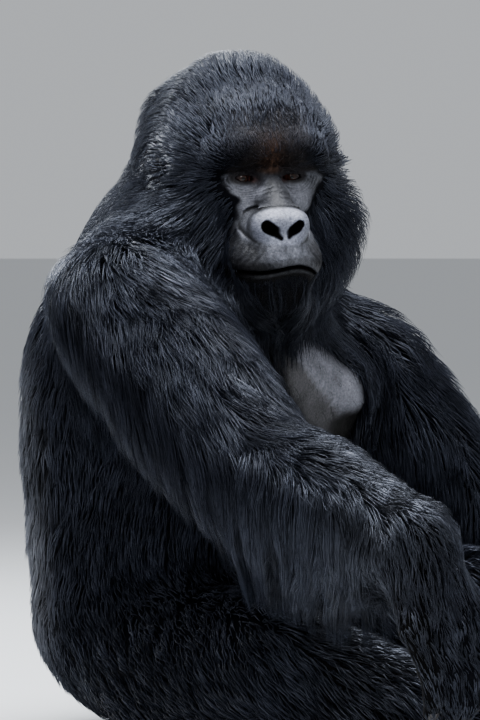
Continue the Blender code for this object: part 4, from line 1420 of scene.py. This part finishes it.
# ---- eyes and nails ------------------------------------------------------------------------------
PUPIL, IRIS, RIM = 10.0, 28.0, 33.0              # half-angles from the gaze, in degrees
CORNEA = 0.0009
GAZE = {"r": (-4.0, -2.0), "l": (-13.0, -2.0)}   # turned to its right and down, in degrees


def eye_piece(letter, surface):
    centre = np.array(middle_of(f"eye_{letter}"))
    bm = bmesh.new()
    bmesh.ops.create_uvsphere(bm, u_segments=56, v_segments=40, radius=EYEBALL / 1000.0)
    mesh = bpy.data.meshes.new("eye")
    bm.to_mesh(mesh)
    bm.free()
    yaw, pitch = (math.radians(angle) for angle in GAZE[letter])
    gaze = np.array(HEAD_TURN @ Vector((math.sin(yaw) * math.cos(pitch), -math.cos(yaw) * math.cos(pitch),
                                        math.sin(pitch))))
    points = points_of(mesh)
    turn = np.array(Vector(gaze).to_track_quat("Z", "Y").to_matrix())
    points = points @ turn.T
    way = unit(points)
    angle = np.degrees(np.arccos(np.clip(way @ gaze, -1, 1)))
    points += way * (CORNEA * np.clip(1 - (angle / RIM) ** 2, 0, 1))[:, None]
    streak = noise(way, 0.09, 21)
    colour = np.tile((0.013, 0.008, 0.008), (len(points), 1))
    toward_nose = way @ (TURN @ np.array((1.0 if letter == "r" else -1.0, 0, 0)))
    colour = mixed(colour, (0.070, 0.024, 0.020), ramp(toward_nose, 0.45, 0.75))
    colour = mixed(colour, (0.026, 0.011, 0.007), 1 - ramp(angle, IRIS - 1, RIM))
    colour *= (1 + 0.3 * streak)[:, None]
    colour = mixed(colour, (0.012, 0.006, 0.005), hill(angle - IRIS - 1, 0, 3.0, 2) * 0.9)
    colour = mixed(colour, (0.002, 0.002, 0.002), 1 - ramp(angle, PUPIL - 1.5, PUPIL + 1.5))
    set_points(mesh, points + centre)
    set_hue(mesh, colour)
    placed(f"eyeball_{letter}", mesh, surface, "eyes", f"eye_{letter}")


def nail(chain):
    """Corners and quads of one nail, a closed curved plate over the end of a digit."""
    joints, radius = chain["joints"], chain["radii"][-1]
    tip, before = np.array(joints[-1]), np.array(joints[-2])
    along = unit(tip - before)
    up = np.array(chain["nail"])
    up = unit(up - along * (up @ along))
    across = np.cross(along, up)
    turns, steps = np.radians(np.linspace(-58, 58, 9)), np.linspace(-0.75, 1.05, 8)
    layers = []
    for lift in (0.0011, -0.0010):
        for step in steps:
            fall = 0.26 * radius * ramp(np.array([step]), 0.1, 1.1)[0]
            reach = (radius + lift) * (1 - 0.05 * max(step, 0))
            for turn in turns:
                layers.append(tip + along * step * radius * 0.98 - up * fall
                              + (up * math.cos(turn) * 0.97 + across * math.sin(turn)) * reach)
    rows, columns = len(steps), len(turns)
    quads, low = [], rows * columns
    for i in range(rows - 1):
        for j in range(columns - 1):
            a = i * columns + j
            quads.append((a, a + columns, a + columns + 1, a + 1))
            quads.append((low + a, low + a + 1, low + a + columns + 1, low + a + columns))
    for i in range(rows - 1):
        for j, flip in ((0, False), (columns - 1, True)):
            a = i * columns + j
            quad = (a, low + a, low + a + columns, a + columns)
            quads.append(quad[::-1] if flip else quad)
    for j in range(columns - 1):
        for i, flip in ((0, True), (rows - 1, False)):
            a = i * columns + j
            quad = (a, low + a, low + a + 1, a + 1)
            quads.append(quad[::-1] if flip else quad)
    return np.array(layers), np.array(quads)


def nails():
    points, quads, base = [], [], 0
    for parts in (hand_parts, foot_parts):
        for side in (0, 1):
            for chain in parts(side)[1]:
                corners, faces = nail(chain)
                points.append(corners)
                quads.append(faces + base)
                base += len(corners)
    points = np.concatenate(points) + SHIFT
    points[:, 2] = np.maximum(points[:, 2], 0.0008)
    mesh = mesh_of("nails", points, np.concatenate(quads))
    set_hue(mesh, np.tile((0.030, 0.027, 0.026), (len(points), 1)))
    placed("nails", mesh, nail_material(), "nails")


# ---- stage -----------------------------------------------------------------------------------------
VIEW_FROM = (-50.0, 2.0)                          # azimuth and elevation, in degrees
VIEW_DISTANCE = 6.0
VIEW_AT = at(0.0, 0.0, 0.53)
LENS, SENSOR = 214.3, 36.0
FLOOR_REACH = 60.0
PALE = (0.62, 0.63, 0.64, 1.0)


def way_back(azimuth, elevation):
    a, e = math.radians(azimuth), math.radians(elevation)
    return Vector((math.sin(a) * math.cos(e), -math.cos(a) * math.cos(e), math.sin(e)))


def lamp(name, place, size, energy, colour):
    light = bpy.data.lights.new(name, "AREA")
    light.shape, light.size, light.energy, light.color = "DISK", size, energy, colour
    obj = object_of(name, light)
    obj.location = place
    obj.rotation_euler = (at(0, 0, 0.45) - place).to_track_quat("-Z", "Y").to_euler()


def stage():
    bm = bmesh.new()
    bmesh.ops.create_circle(bm, cap_ends=True, segments=96, radius=FLOOR_REACH)
    mesh = bpy.data.meshes.new("floor")
    bm.to_mesh(mesh)
    bm.free()
    floor = object_of("floor", mesh)
    pale = bpy.data.materials.new("floor")
    pale.use_nodes = True
    shader = pale.node_tree.nodes["Principled BSDF"]
    shader.inputs["Base Color"].default_value = PALE
    shader.inputs["Roughness"].default_value = 0.9
    mesh.materials.append(pale)
    world = bpy.data.worlds.new("studio")
    world.use_nodes = True
    world.node_tree.nodes["Background"].inputs["Color"].default_value = (0.80, 0.83, 0.87, 1.0)
    world.node_tree.nodes["Background"].inputs["Strength"].default_value = 0.64
    bpy.context.scene.world = world
    lamp("overhead", at(-0.2, -0.1, 3.2), 2.0, 290.0, (0.93, 0.96, 1.0))
    lamp("window", at(-2.4, -0.8, 2.4), 1.4, 34.0, (0.95, 0.97, 1.0))
    lamp("rim", at(0.6, 2.4, 2.0), 1.2, 85.0, (0.90, 0.95, 1.0))
    camera = bpy.data.cameras.new("camera")
    camera.lens, camera.sensor_width = LENS, SENSOR
    camera.clip_end = 200.0
    back = way_back(*VIEW_FROM)
    obj = object_of("camera", camera)
    obj.location = VIEW_AT + back * VIEW_DISTANCE
    obj.rotation_euler = (-back).to_track_quat("-Z", "Y").to_euler()
    bpy.context.scene.camera = obj


# ---- making -------------------------------------------------------------------------------------------
known_skin = Skin(skin_mesh())
finish_skin(known_skin)
eyes = eye_material()
eye_piece("r", eyes)
eye_piece("l", eyes)
nails()
coat(known_skin)
stage()
